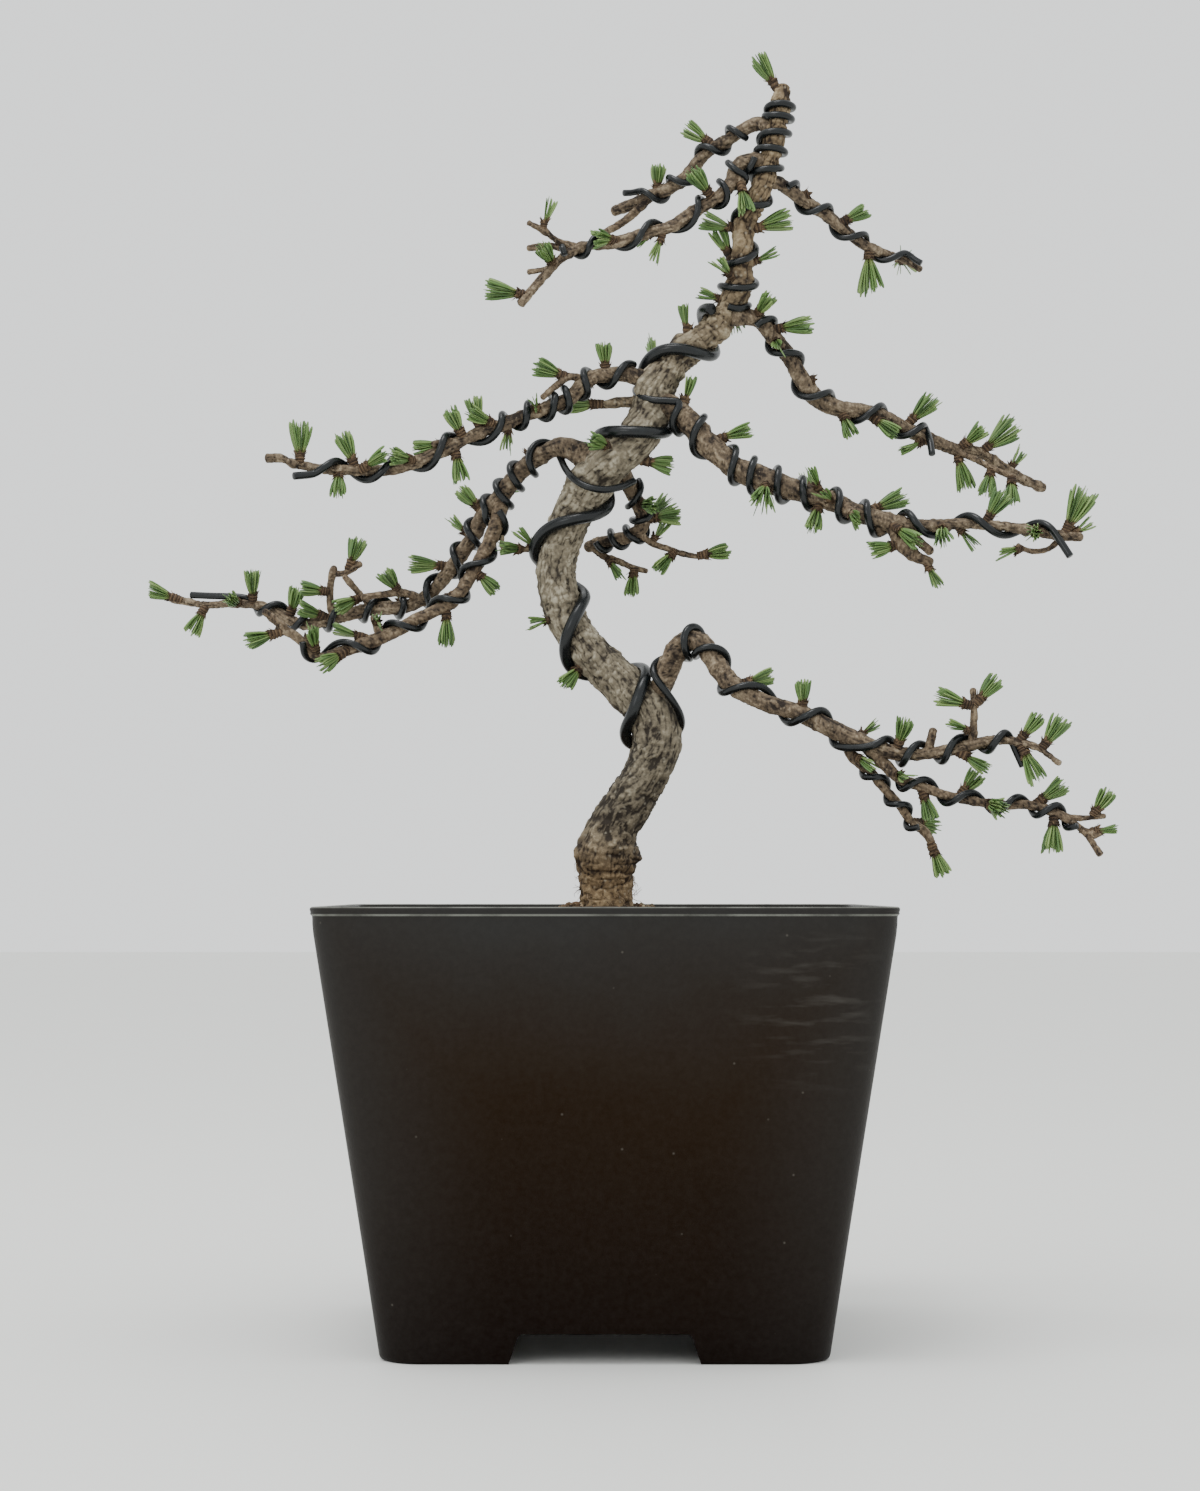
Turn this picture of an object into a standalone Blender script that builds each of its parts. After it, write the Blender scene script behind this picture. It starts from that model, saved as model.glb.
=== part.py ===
"""Wired larch bonsai in a square plastic pot.

The tree stands in the soil of its pot. Trunk, branches and training wires are laid out on a
drawing of the tree's front: a point is (across, down) in drawing units of a third of a
millimetre, and a depth in millimetres toward the front. The drawing is made from a station
point one metre in front of the trunk, level with the rim of the pot, so what is nearer is
drawn larger, and place() turns a drawn point into the point that it stands for.
"""

import math
import random

import bpy
import numpy as np

# Pot, metres
POT_TOP_SIDE = 0.1815
POT_BASE_SIDE = 0.1415
POT_HEIGHT = 0.142
POT_WALL = 0.0028
POT_CORNER_TOP = 0.011
POT_CORNER_BASE = 0.014
LIP_HEIGHT = 0.0024
LIP_STEP = 0.0004
RIM_ROUNDING = 0.0008
FLOOR_UNDERSIDE = 0.0096
FLOOR_TOP = 0.0126
FOOT_WALL = 0.0060
NOTCH_BASE_WIDTH = 0.0610
NOTCH_TOP_WIDTH = 0.0536
DRAIN_RADIUS = 0.0055
DRAIN_OFFSET = 0.034
DRAIN_SIDES = 10
FOOT_ROUNDING = 0.001
POCKET_CORNER = 0.006
INNER_CORNER_LOSS = 0.001
CUT_PAST = 0.002
SHARP_ANGLE = math.radians(35)
FOLD_ANGLE = math.radians(50)

# Soil, metres
GAP = 0.0003
SOIL_EDGE_HEIGHT = 0.1385
SOIL_MOUND_HEIGHT = 0.1428
SOIL_HOLE_RADIUS = 0.0096
SOIL_HOLE_SIDES = 24
# (share of the soil's side, corner in pot corners, share of the rise)
SOIL_MOUND = ((0.82, 1.2, 0.25), (0.50, 2.0, 0.65), (0.24, 1.6, 1.0))

# Drawing of the tree
UNIT = 0.001 / 3
STATION_DISTANCE = 1.0
STATION_X = -0.0015
STATION_Z = 0.1475
DRAWING_CENTRE = (600.0, 888.8)

# Wood, spurs and needles
TRUNK_SIDES = 10
BRANCH_SIDES = 6
TWIG_SIDES = 5
SPUR_SIDES = 5
SPUR_RADIUS = 0.0018
SPUR_LENGTH = 0.0042
SPUR_SPIN = 0.3
CORE_RADIUS = 0.0007
SHOULDER = 0.0006
NEEDLE_RADIUS = 0.0007
NEEDLE_SHORTEST = 0.0055
NEEDLE_LONGEST = 0.0115
NEEDLE_TIP_SHARE = 0.3
NEEDLE_FAN = math.radians(25)
FAN_SPREAD = (0.75, 1.2)
LENGTH_SPREAD = (0.85, 1.02)
LEAN = 0.25
NEEDLE_TRIES = 8
SHOOT_CLEARANCE = 0.00005
SHORTEST_REACH = 0.002
SPUR_SHARE = 0.42
SPUR_ROOT_SHARE = 0.9
THIN_SHARE = 0.8
MOST_OUT = 2.2
SURFACE_SHARE = 0.7
LEAST_LIFT = 0.15
SHIFTS = (0, 0.0015, -0.0015, 0.003, -0.003, 0.0045, -0.0045, 0.006, -0.006)
TURNS = (0, 20, -20, 40, -40, 65, -65, 90, -90, 125, -125)
SEED = 7

# Wires
WIRE_GAP = 0.00038
WIRE_SIDES = 5
TRUNK_WIRE_SIDES = 6
WIRE_STEPS = 6
LONGEST_WIRE_LEG = 0.009
RELAX_ROUNDS = 80
RELAX_SHARES = (0.0, 0.25, 0.5, 0.75)
MOST_PUSH = 0.002
PUSH_SHARE = 0.75
NEAR = 0.02
STEEP = 0.93
TINY = 1e-12

# (across, down, toward mm, half-width in drawing units)
TRUNK = (
    (606, 966, 0, 25), (606, 915, 0, 26.5), (606, 882, 0, 26.5), (607, 852, 1, 31),
    (612, 830, 2, 26), (630, 800, 3, 24.5), (647, 772, 4, 23.5), (656, 745, 4, 24.5),
    (652, 716, 3, 24), (628, 690, 1, 21), (601, 664, -1, 20.5), (578, 638, -3, 19.5),
    (562, 608, -4, 19.5), (556, 577, -4, 20), (562, 543, -3, 20), (575, 512, -1, 20),
    (590, 486, 1, 21), (609, 462, 3, 22), (634, 441, 4, 21), (648, 416, 3, 19.5),
    (657, 390, 2, 19), (671, 366, 0, 17), (694, 345, -2, 15), (716, 326, -3, 14),
    (731, 305, -2, 13.5), (739, 285, 0, 14), (741, 268, 1, 12), (743, 248, 2, 9.5),
    (744, 228, 2, 10), (753, 205, 3, 10.5), (764, 182, 4, 10.5), (769, 160, 4, 10.5),
    (774, 138, 3, 11), (779, 115, 2, 10), (782, 97, 1, 8.5), (783, 89, 1, 7),
)

# Each leafy stem: depth in mm at its start and its tip, its main limb and its side limbs as
# (across, down, half-width), each side limb with the depth that it gains, and its short
# shoots as (root across, root down, tip across, tip down, toward mm, kind).
# Kinds: "full" tuft, "thin" tuft of few needles, "bud" bare spur.
STEMS = {
    "trunk": {
        "depth": (0, 0),
        "main": None,
        "side": (
            (0, ((642, 402, 6), (622, 402, 5.2), (604, 405, 4))),
            (-6, ((556, 552, 4), (536, 550, 3.2), (519, 549, 3), (503, 548, 2.8))),
            (-1, ((513, 549, 2.8), (503, 547, 2.6), (502, 537, 2.4))),
        ),
        "shoots": (
            (780, 97, 757, 55, 0, "full"), (768, 135, 729, 120, 4, "full"),
            (741, 232, 703, 218, 2, "full"), (750, 231, 791, 220, 0, "full"),
            (735, 276, 717, 231, 3, "full"), (748, 268, 772, 254, -3, "thin"),
            (728, 284, 702, 266, 3, "thin"), (727, 300, 707, 296, 1, "thin"),
            (738, 310, 738, 324, 9, "full"), (688, 352, 688, 316, 0, "full"),
            (652, 384, 652, 342, 0, "thin"), (616, 444, 585, 430, -2, "full"),
            (628, 470, 667, 465, 0, "full"), (556, 620, 532, 625, 6, "thin"),
            (590, 655, 567, 687, 0, "full"), (606, 405, 576, 404, 1, "full"),
            (522, 550, 507, 548, 5, "full"), (538, 552, 517, 566, -1, "thin"),
        ),
    },
    "branch_lower_right": {
        "depth": (4, 56),
        "main": (
            (656, 706, 11), (664, 680, 11), (671, 662, 11), (680, 647, 11), (691, 640, 10.5),
            (703, 645, 10), (715, 662, 9.5), (728, 680, 10), (748, 695, 9), (775, 706, 8.5),
            (802, 714, 8.5), (828, 727, 9), (850, 737, 9), (868, 745, 8), (896, 753, 7.5),
            (922, 754, 6), (945, 751, 6), (971, 745, 6), (994, 740, 5), (1012, 741, 4),
            (1036, 747, 3.5), (1059, 763, 3.2),
        ),
        "side": (
            (22, (
                (862, 744, 6), (884, 764, 6), (900, 779, 5.5), (920, 786, 5),
                (945, 795, 4.5), (978, 802, 4.5), (1004, 805, 4.5), (1030, 805, 4.8),
                (1053, 812, 5), (1072, 822, 3.5), (1085, 833, 3.2), (1100, 854, 2.8),
            )),
            (4, ((1052, 812, 3.5), (1076, 818, 3), (1104, 816, 2.7))),
            (1, ((1080, 829, 3.5), (1094, 834, 4), (1103, 831, 3.5))),
            (4, (
                (842, 736, 5.5), (853, 758, 5), (868, 769, 5), (882, 786, 4.5),
                (897, 802, 4), (910, 820, 4), (928, 836, 4.5), (933, 846, 3.6),
            )),
            (1, ((972, 746, 4.2), (974, 715, 3.6), (973, 690, 3))),
            (0, ((928, 754, 5), (933, 731, 4.4))),
        ),
        "shoots": (
            (735, 687, 767, 677, 0, "full"), (803, 714, 803, 690, 0, "full"),
            (856, 737, 871, 726, -4, "thin"), (896, 752, 909, 721, 0, "full"),
            (974, 706, 937, 696, 1, "full"), (974, 706, 998, 679, 0, "full"),
            (973, 731, 948, 727, 0, "thin"), (1018, 743, 1040, 716, 0, "full"),
            (1041, 750, 1063, 719, 0, "full"), (953, 752, 989, 766, 4, "full"),
            (1020, 744, 1038, 781, 1, "full"), (852, 752, 873, 766, 5, "thin"),
            (896, 773, 922, 767, 3, "thin"), (880, 783, 908, 799, 1, "full"),
            (921, 787, 931, 818, 0, "full"), (958, 798, 979, 770, 0, "full"),
            (987, 804, 1003, 842, 0, "full"), (1033, 806, 1064, 785, -1, "full"),
            (1055, 813, 1068, 804, -5, "thin"), (1032, 807, 1038, 834, -1, "thin"),
            (1054, 814, 1052, 852, 2, "full"), (1092, 817, 1107, 794, 0, "full"),
            (1088, 832, 1106, 829, 1, "thin"), (908, 820, 906, 852, 1, "full"),
            (930, 840, 941, 869, 0, "full"),
        ),
    },
    "branch_mid_right": {
        "depth": (4, 30),
        "main": (
            (654, 400, 12), (674, 409, 12), (690, 424, 12), (713, 449, 12), (735, 467, 11),
            (757, 477, 13), (776, 484, 12), (800, 492, 10), (820, 498, 9.5), (836, 503, 9),
            (852, 511, 9), (873, 518, 9), (893, 523, 9), (926, 526, 6.5), (960, 524, 5),
            (1000, 526, 4.6), (1035, 531, 5), (1058, 535, 5), (1080, 537, 4.5),
        ),
        "side": (
            (3, ((892, 524, 8), (903, 545, 7.5), (917, 557, 6), (930, 562, 4.5))),
            (4, ((905, 530, 6), (916, 539, 5), (930, 551, 4.6))),
            (5, ((838, 503, 6), (846, 510, 5.6), (854, 514, 5.4))),
            (0, ((868, 514, 5), (876, 524, 4.8), (881, 533, 4.6))),
            (1, ((1062, 537, 3.4), (1048, 549, 3), (1030, 551, 2.8), (1018, 546, 2.8))),
        ),
        "shoots": (
            (682, 416, 681, 383, 5, "full"), (706, 441, 751, 432, 0, "full"),
            (767, 480, 800, 430, 0, "full"), (812, 494, 808, 449, 0, "full"),
            (826, 500, 793, 511, 5, "thin"), (820, 500, 812, 536, 2, "full"),
            (836, 502, 831, 482, 2, "thin"), (846, 508, 869, 500, 6, "full"),
            (862, 514, 904, 496, -4, "full"), (886, 521, 931, 502, 2, "full"),
            (900, 546, 875, 549, 2, "full"), (924, 561, 934, 578, 0, "thin"),
            (942, 525, 943, 539, 9, "full"), (955, 524, 972, 538, -5, "thin"),
            (983, 525, 1006, 492, 0, "full"), (1038, 531, 1041, 502, 2, "full"),
            (1064, 535, 1086, 489, 0, "full"), (1070, 536, 1087, 523, -5, "thin"),
            (1022, 549, 1006, 554, 2, "thin"),
        ),
    },
    "branch_upper_right": {
        "depth": (0, -34),
        "main": (
            (730, 318, 8.5), (748, 317, 8.5), (760, 321, 8), (772, 335, 8), (786, 353, 7.5),
            (800, 376, 8), (811, 393, 9), (824, 403, 8.5), (842, 409, 8), (866, 412, 7.5),
            (888, 419, 7), (908, 430, 7), (932, 440, 6.5), (953, 449, 6), (978, 452, 5),
            (1000, 465, 4.5), (1018, 477, 5), (1043, 488, 4.2),
        ),
        "side": (
            (4, ((950, 449, 3.6), (972, 458, 3), (994, 469, 2.8), (1013, 477, 3))),
        ),
        "shoots": (
            (754, 319, 765, 298, 3, "full"), (768, 330, 812, 319, 1, "full"),
            (774, 337, 779, 348, 7, "thin"), (803, 381, 821, 380, 0, "bud"),
            (864, 412, 894, 392, 0, "full"), (840, 410, 850, 432, 3, "full"),
            (904, 428, 933, 398, 0, "full"), (930, 438, 913, 437, 7, "full"),
            (958, 450, 982, 430, 4, "full"), (980, 453, 1017, 424, 0, "full"),
            (956, 450, 966, 488, 0, "full"), (992, 467, 987, 490, 0, "full"),
            (1009, 472, 1018, 455, -3, "thin"), (1012, 475, 1012, 501, 3, "full"),
        ),
    },
    "branch_top_right": {
        "depth": (3, -20),
        "main": (
            (768, 180, 7.5), (780, 184, 7), (796, 195, 6.8), (812, 206, 6.2), (830, 218, 5.8),
            (848, 233, 5.6), (866, 246, 5.2), (886, 254, 4.2), (905, 260, 3.6), (920, 269, 3),
        ),
        "side": (),
        "shoots": (
            (799, 197, 813, 193, 0, "bud"), (838, 224, 864, 211, 0, "full"),
            (868, 247, 870, 294, 0, "full"), (901, 258, 935, 221, 0, "full"),
        ),
    },
    "branch_top_left": {
        "depth": (3, -20),
        "main": (
            (775, 130, 7), (757, 124, 6.6), (741, 131, 6.4), (726, 141, 6.2), (709, 151, 6),
            (697, 163, 6), (687, 176, 6), (670, 188, 6), (647, 197, 5.8), (630, 205, 5.6),
            (615, 211, 5.2),
        ),
        "side": (
            (-4, ((652, 196, 4.2), (633, 214, 4), (617, 226, 3.8), (603, 233, 3.4))),
        ),
        "shoots": (
            (716, 147, 683, 127, 0, "full"), (657, 193, 658, 174, 0, "full"),
        ),
    },
    "branch_high_left": {
        "depth": (4, 24),
        "main": (
            (770, 162, 7.5), (757, 160, 7.2), (744, 162, 7), (736, 169, 7), (731, 182, 6.8),
            (722, 194, 6.5), (705, 205, 6.2), (688, 216, 6), (670, 227, 6), (650, 232, 5.8),
            (630, 238, 5.5), (610, 243, 5.4), (590, 245, 5), (570, 252, 4.6), (553, 266, 4.2),
            (538, 283, 4), (521, 303, 3.8),
        ),
        "side": (
            (2, ((736, 169, 5), (741, 182, 4.4))),
            (3, ((580, 248, 3.6), (560, 242, 3.2), (544, 231, 3), (529, 223, 2.8))),
            (-2, ((572, 250, 3.6), (550, 246, 3.4), (529, 248, 3.2))),
            (1, ((556, 264, 3), (545, 269, 2.8), (529, 272, 2.8))),
        ),
        "shoots": (
            (740, 178, 753, 204, 3, "full"), (714, 201, 688, 172, 3, "full"),
            (658, 230, 634, 205, 2, "full"), (664, 230, 655, 261, 0, "thin"),
            (619, 240, 597, 237, 8, "full"), (554, 265, 544, 250, 6, "full"),
            (543, 230, 549, 201, 0, "thin"), (528, 295, 486, 289, 0, "full"),
        ),
    },
    "branch_upper_left": {
        "depth": (2, 32),
        "main": (
            (656, 384, 8.5), (640, 378, 8.5), (625, 374, 7.5), (608, 375, 7.5), (594, 377, 7),
            (582, 385, 7), (572, 396, 7), (560, 403, 6.8), (544, 409, 6.6), (525, 415, 6.2),
            (505, 424, 6.2), (485, 431, 6), (468, 438, 6), (450, 447, 7), (430, 456, 6),
            (410, 464, 6), (390, 470, 6), (370, 471, 5.2), (350, 470, 5.2), (330, 470, 5),
            (312, 467, 4.5), (295, 464, 4), (280, 458, 3.8), (268, 458, 4.2),
        ),
        "side": (
            (7, ((586, 380, 4), (570, 377, 3.6), (556, 386, 3.4), (543, 397, 3.2))),
            (4, ((462, 441, 4), (448, 443, 3.8), (434, 444, 3.6))),
        ),
        "shoots": (
            (606, 374, 604, 350, 0, "full"), (594, 377, 579, 360, -3, "thin"),
            (562, 382, 528, 370, 2, "full"), (538, 410, 524, 388, 3, "thin"),
            (512, 420, 497, 412, -5, "thin"), (480, 432, 473, 399, 1, "full"),
            (498, 428, 482, 423, 7, "full"), (464, 439, 447, 412, 1, "full"),
            (452, 443, 416, 437, 3, "full"), (416, 461, 385, 446, 2, "full"),
            (455, 446, 460, 480, 0, "full"), (358, 470, 386, 464, 6, "full"),
            (357, 470, 341, 434, 0, "full"), (300, 465, 300, 422, 0, "full"),
            (339, 470, 338, 488, 2, "full"),
        ),
    },
    "branch_lower_left": {
        "depth": (3, -50),
        "main": (
            (606, 468, 14), (590, 459, 13.5), (575, 451, 12), (560, 447, 9.5),
            (545, 453, 9), (530, 463, 9), (515, 478, 9), (503, 494, 9), (490, 508, 8),
            (479, 524, 7.5), (471, 540, 7.2), (462, 553, 7), (452, 567, 7), (440, 583, 6.6),
            (425, 598, 6.4), (408, 606, 6.4), (385, 608, 6.8), (365, 610, 6.4),
            (345, 616, 6), (325, 621, 5.6), (303, 624, 5.4), (288, 619, 5), (276, 611, 4.6),
            (262, 606, 4.4), (245, 604, 4.2), (225, 604, 4), (205, 605, 3.6), (188, 602, 3.4),
            (173, 600, 3.6),
        ),
        "side": (
            (14, (
                (503, 494, 8), (499, 515, 7.6), (491, 538, 7.4), (482, 557, 7), (472, 573, 6.6),
                (463, 588, 6.4), (452, 602, 6.4), (435, 611, 6.2), (415, 620, 6.2),
                (398, 630, 6.6), (380, 638, 7), (362, 645, 6.6), (340, 652, 5.8),
                (319, 657, 5), (306, 645, 4.8), (292, 634, 4.6), (278, 629, 4),
            )),
            (3, ((292, 634, 4), (278, 623, 3.6), (265, 612, 3.8))),
            (5, ((334, 619, 4.4), (330, 600, 3.8), (331, 582, 3.6), (334, 568, 3.4))),
            (2, ((333, 574, 3.2), (345, 573, 3.2), (360, 564, 3))),
            (5, ((374, 609, 3.8), (358, 592, 3.4), (345, 577, 3.2))),
            (3, ((422, 600, 4.4), (405, 593, 3.8), (385, 594, 3.4), (363, 597, 3.2))),
            (-3, ((382, 638, 5), (377, 626, 4.4), (374, 618, 4))),
        ),
        "shoots": (
            (184, 602, 148, 589, 0, "full"), (207, 605, 190, 633, 0, "full"),
            (239, 604, 238, 578, 3, "full"), (253, 605, 257, 571, 0, "full"),
            (289, 620, 297, 591, 1, "full"), (332, 618, 302, 608, 3, "full"),
            (330, 592, 303, 588, 2, "full"), (362, 597, 337, 607, 5, "full"),
            (348, 572, 360, 539, 0, "full"), (400, 594, 389, 577, 1, "full"),
            (406, 606, 383, 602, 6, "full"), (377, 622, 399, 621, 3, "thin"),
            (374, 641, 338, 631, 3, "full"), (352, 649, 319, 645, 6, "full"),
            (320, 656, 288, 660, 1, "full"), (284, 631, 246, 641, 1, "full"),
            (306, 645, 309, 631, -2, "bud"), (472, 538, 453, 522, -3, "thin"),
            (484, 514, 461, 489, 1, "full"), (504, 490, 493, 474, 0, "thin"),
            (530, 462, 528, 444, 0, "bud"), (452, 566, 410, 563, 0, "full"),
            (446, 605, 447, 646, 0, "full"), (474, 570, 492, 587, 0, "full"),
            (462, 588, 433, 597, 3, "thin"),
        ),
    },
    "branch_back": {
        "depth": (-1, -24),
        "main": (
            (614, 462, 9), (624, 476, 8.4), (631, 490, 8), (638, 503, 7.6), (643, 516, 7.6),
            (641, 528, 7.2), (630, 536, 6.6), (612, 540, 6), (598, 543, 5.6), (588, 547, 5),
        ),
        "side": (
            (2, ((638, 532, 4), (650, 542, 3.4), (668, 549, 3.2), (688, 555, 3), (702, 557, 2.8))),
            (3, ((592, 546, 4.4), (603, 556, 3.4), (618, 561, 3.2), (634, 568, 3), (646, 571, 2.8))),
        ),
        "shoots": (
            (696, 556, 724, 551, 0, "full"), (675, 551, 660, 567, 2, "full"),
            (652, 543, 662, 526, -2, "thin"), (642, 518, 679, 521, 2, "full"),
            (642, 512, 657, 508, 0, "bud"), (638, 505, 602, 508, -2, "full"),
            (634, 535, 594, 515, 2, "full"), (606, 557, 628, 550, 3, "thin"),
            (634, 568, 632, 590, 0, "full"),
        ),
    },
}

# Each wire: the limbs that it follows as (stem, limb number; 0 is the main limb), its radius,
# drawn points (across, down, depth) that lead it in, its course as (across, down, turns) where
# a whole number of turns is a pass across the front, and drawn points that lead it out.
WIRES = {
    "wire_trunk": (
        "trunk", 0, 0.0020, (),
        (
            (657, 738, -0.30), (640, 703, 0.0), (626, 688, 0.25), (588, 650, 0.75),
            (572, 629, 1.0), (560, 602, 1.25), (560, 550, 1.75), (572, 518, 2.0),
            (586, 494, 2.25), (612, 460, 2.72), (637, 438, 3.0), (646, 420, 3.25),
            (664, 378, 3.72), (682, 357, 4.0), (704, 337, 4.3), (722, 318, 4.9),
        ),
        (),
    ),
    "wire_crown": (
        "trunk", 0, 0.00120, (),
        (
            (730, 308, 0.0), (738, 290, 0.9), (744, 262, 2.0), (744, 232, 2.55),
            (752, 207, 3.0), (762, 186, 3.5), (769, 158, 4.5), (772, 147, 5.5),
            (777, 126, 6.5), (779, 114, 7.5), (781, 103, 8.5),
        ),
        (),
    ),
    "wire_lower_right": (
        "branch_lower_right", 0, 0.00125, ((676, 716, 15), (678, 706, 13)),
        (
            (664, 683, 0.0), (688, 642, -1.0), (708, 651, -2.0), (741, 691, -3.0),
            (811, 718, -4.0), (822, 724, -4.35), (838, 733, -4.72), (878, 748, -5.0),
            (911, 754, -6.0), (951, 750, -7.0),
            (999, 740, -8.0), (1008, 741, -8.3),
        ),
        ((1014, 750, 47), (1023, 766, 49)),
    ),
    "wire_lower_right_mid": (
        "branch_lower_right", 1, 0.00110, (),
        (
            (899, 778, -0.55), (914, 784, -1.0), (960, 799, -2.0),
            (1008, 805, -3.0), (1048, 811, -4.0), (1078, 827, -5.0),
        ),
        (),
    ),
    "wire_lower_right_low": (
        "branch_lower_right", 4, 0.00105, (),
        (
            (864, 766, -0.55), (875, 778, -1.0), (899, 805, -2.0), (918, 828, -3.0),
        ),
        (),
    ),
    "wire_mid_right": (
        "branch_mid_right", 0, 0.00125, ((640, 396, 10), (648, 406, 11)),
        (
            (676, 411, -0.15), (697, 432, 1.0), (735, 467, 2.0), (752, 475, 3.0),
            (779, 485, 4.0), (804, 493, 5.0), (841, 505, 6.0), (868, 516, 7.0),
            (917, 525, 8.0), (984, 525, 9.0), (1056, 534, 10.0),
        ),
        ((1063, 546, 33), (1070, 556, 34)),
    ),
    "wire_upper_right": (
        "branch_upper_right", 0, 0.00120, (),
        (
            (756, 319, 0.1), (785, 352, -1.0), (814, 396, -2.0), (868, 413, -3.0),
            (912, 431, -4.0), (926, 437, -4.4),
        ),
        ((931, 444, -15), (932, 454, -15)),
    ),
    "wire_top_right": (
        "branch_top_right", 0, 0.00110, (),
        (
            (784, 187, 0.0), (816, 209, -1.0), (852, 236, -2.0), (894, 256, -3.0),
            (906, 261, -3.25),
        ),
        ((914, 263, -15), (921, 263, -15)),
    ),
    "wire_top_left": (
        "branch_top_left", 0, 0.00110, (),
        (
            (744, 129, -0.2), (714, 149, 1.0), (680, 182, 2.0), (652, 195, 3.0),
            (643, 199, 3.2),
        ),
        ((634, 195, -12), (624, 193, -11)),
    ),
    "wire_high_left": (
        "branch_high_left", 0, 0.00110, (),
        (
            (752, 161, 0.0), (734, 174, -1.0), (724, 191, -2.0), (697, 210, -3.0),
            (640, 235, -4.0), (588, 245, -5.0), (563, 257, -6.0),
        ),
        (),
    ),
    "wire_upper_left": (
        "branch_upper_left", 0, 0.00125, (),
        (
            (632, 376, 0.3), (616, 375, 0.0), (583, 384, -1.0), (566, 400, -2.0),
            (552, 406, -3.0), (525, 415, -4.0), (500, 425, -5.0), (438, 452, -6.0),
            (383, 471, -7.0), (322, 469, -8.0), (312, 467, -8.2),
        ),
        ((303, 475, 35), (294, 476, 35)),
    ),
    "wire_lower_left": (
        "branch_lower_left", 0, 0.00120,
        ((634, 481, 5), (622, 490, 11), (604, 494, 13), (584, 490, 12), (569, 478, 9),
         (565, 466, 4)),
        (
            (557, 448, -0.5), (532, 462, -1.0), (516, 477, -2.0), (503, 494, -3.0),
            (489, 509, -4.0), (474, 535, -5.0), (458, 558, -6.0), (429, 594, -7.0),
            (408, 606, -8.0), (372, 609, -9.0), (335, 618, -10.0), (303, 624, -11.0),
            (270, 609, -12.0), (245, 604, -12.7), (232, 604, -12.75), (190, 602, -12.75),
        ),
        (),
    ),
    "wire_lower_left_under": (
        "branch_lower_left", 1, 0.00115, (),
        (
            (499, 514, 0.0), (491, 538, -0.5), (476, 566, 0.0), (452, 602, 1.0),
            (403, 627, 2.0), (357, 647, 3.0), (322, 656, 3.5), (303, 642, 4.0),
        ),
        (),
    ),
    "wire_back": (
        "branch_back", 0, 0.00110, (),
        (
            (629, 487, -0.3), (638, 503, 0.3), (643, 516, 1.0), (633, 534, 2.0),
            (616, 539, 3.0), (600, 543, 4.0),
        ),
        (),
    ),
}

# Finishes: colour, roughness, metallic
FINISHES = {
    "pot": ((0.030, 0.024, 0.019), 0.42, 0.0),
    "soil": ((0.105, 0.070, 0.042), 0.95, 0.0),
    "bark": ((0.205, 0.165, 0.120), 0.85, 0.0),
    "shoot": ((0.130, 0.215, 0.060), 0.60, 0.0),
    "wire": ((0.012, 0.018, 0.022), 0.35, 0.3),
}


def place(across, down, toward):
    """The point in metres that a drawn point stands for, TOWARD metres nearer the front."""
    scale = UNIT * (1 - toward / STATION_DISTANCE)
    x = STATION_X + (across - DRAWING_CENTRE[0]) * scale
    z = STATION_Z + (DRAWING_CENTRE[1] - down) * scale
    return np.array((x, -toward, z))


def unit(vector):
    return vector / max(np.linalg.norm(vector), TINY)


def tangents(points):
    """The direction of a path at each of its points."""
    steps = np.diff(points, axis=0)
    steps /= np.maximum(np.linalg.norm(steps, axis=1, keepdims=True), TINY)
    found = np.vstack((steps[:1], steps[:-1] + steps[1:], steps[-1:]))
    return found / np.maximum(np.linalg.norm(found, axis=1, keepdims=True), TINY)


def across_axes(tangent):
    """Two directions square to a tangent: one toward the front, one to the side."""
    front = np.array((0.0, -1.0, 0.0))
    if abs(tangent[1]) > STEEP:
        front = np.array((0.0, 0.0, 1.0))
    front = unit(front - tangent * front.dot(tangent))
    return front, np.cross(tangent, front)


class Limb:
    """A tapering round limb along drawn points, with its centre line in space."""

    def __init__(self, drawn, toward, half_widths):
        self.drawn = np.array(drawn, float)
        self.toward = np.array(toward, float)
        self.centres = np.array([place(x, y, t) for (x, y), t in zip(drawn, toward)])
        self.radii = np.array(half_widths) * UNIT * (1 - self.toward / STATION_DISTANCE)
        lengths = np.linalg.norm(np.diff(self.centres, axis=0), axis=1)
        self.along = np.concatenate(((0.0,), np.cumsum(lengths)))

    def nearest(self, across, down):
        """Length along the limb of its drawn point nearest to (across, down), and how far off."""
        point = np.array((across, down), float)
        starts, ends = self.drawn[:-1], self.drawn[1:]
        legs = ends - starts
        share = np.einsum("ij,ij->i", point - starts, legs) / np.einsum("ij,ij->i", legs, legs)
        share = np.clip(share, 0, 1)
        off = np.linalg.norm(starts + legs * share[:, None] - point, axis=1)
        leg = int(off.argmin())
        gap = self.along[leg + 1] - self.along[leg]
        return self.along[leg] + share[leg] * gap, off[leg]

    def at(self, length):
        """Centre, radius and direction at a length along the limb."""
        length = min(max(length, 0.0), self.along[-1])
        centre = np.array([np.interp(length, self.along, c) for c in self.centres.T])
        leg = min(max(np.searchsorted(self.along, length) - 1, 0), len(self.along) - 2)
        return (
            centre,
            float(np.interp(length, self.along, self.radii)),
            unit(self.centres[leg + 1] - self.centres[leg]),
        )

    def depth_at(self, length):
        return float(np.interp(length, self.along, self.toward))

    def capsules(self):
        return [
            (a, b, ra, rb)
            for a, b, ra, rb in zip(
                self.centres[:-1], self.centres[1:], self.radii[:-1], self.radii[1:]
            )
        ]


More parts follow.
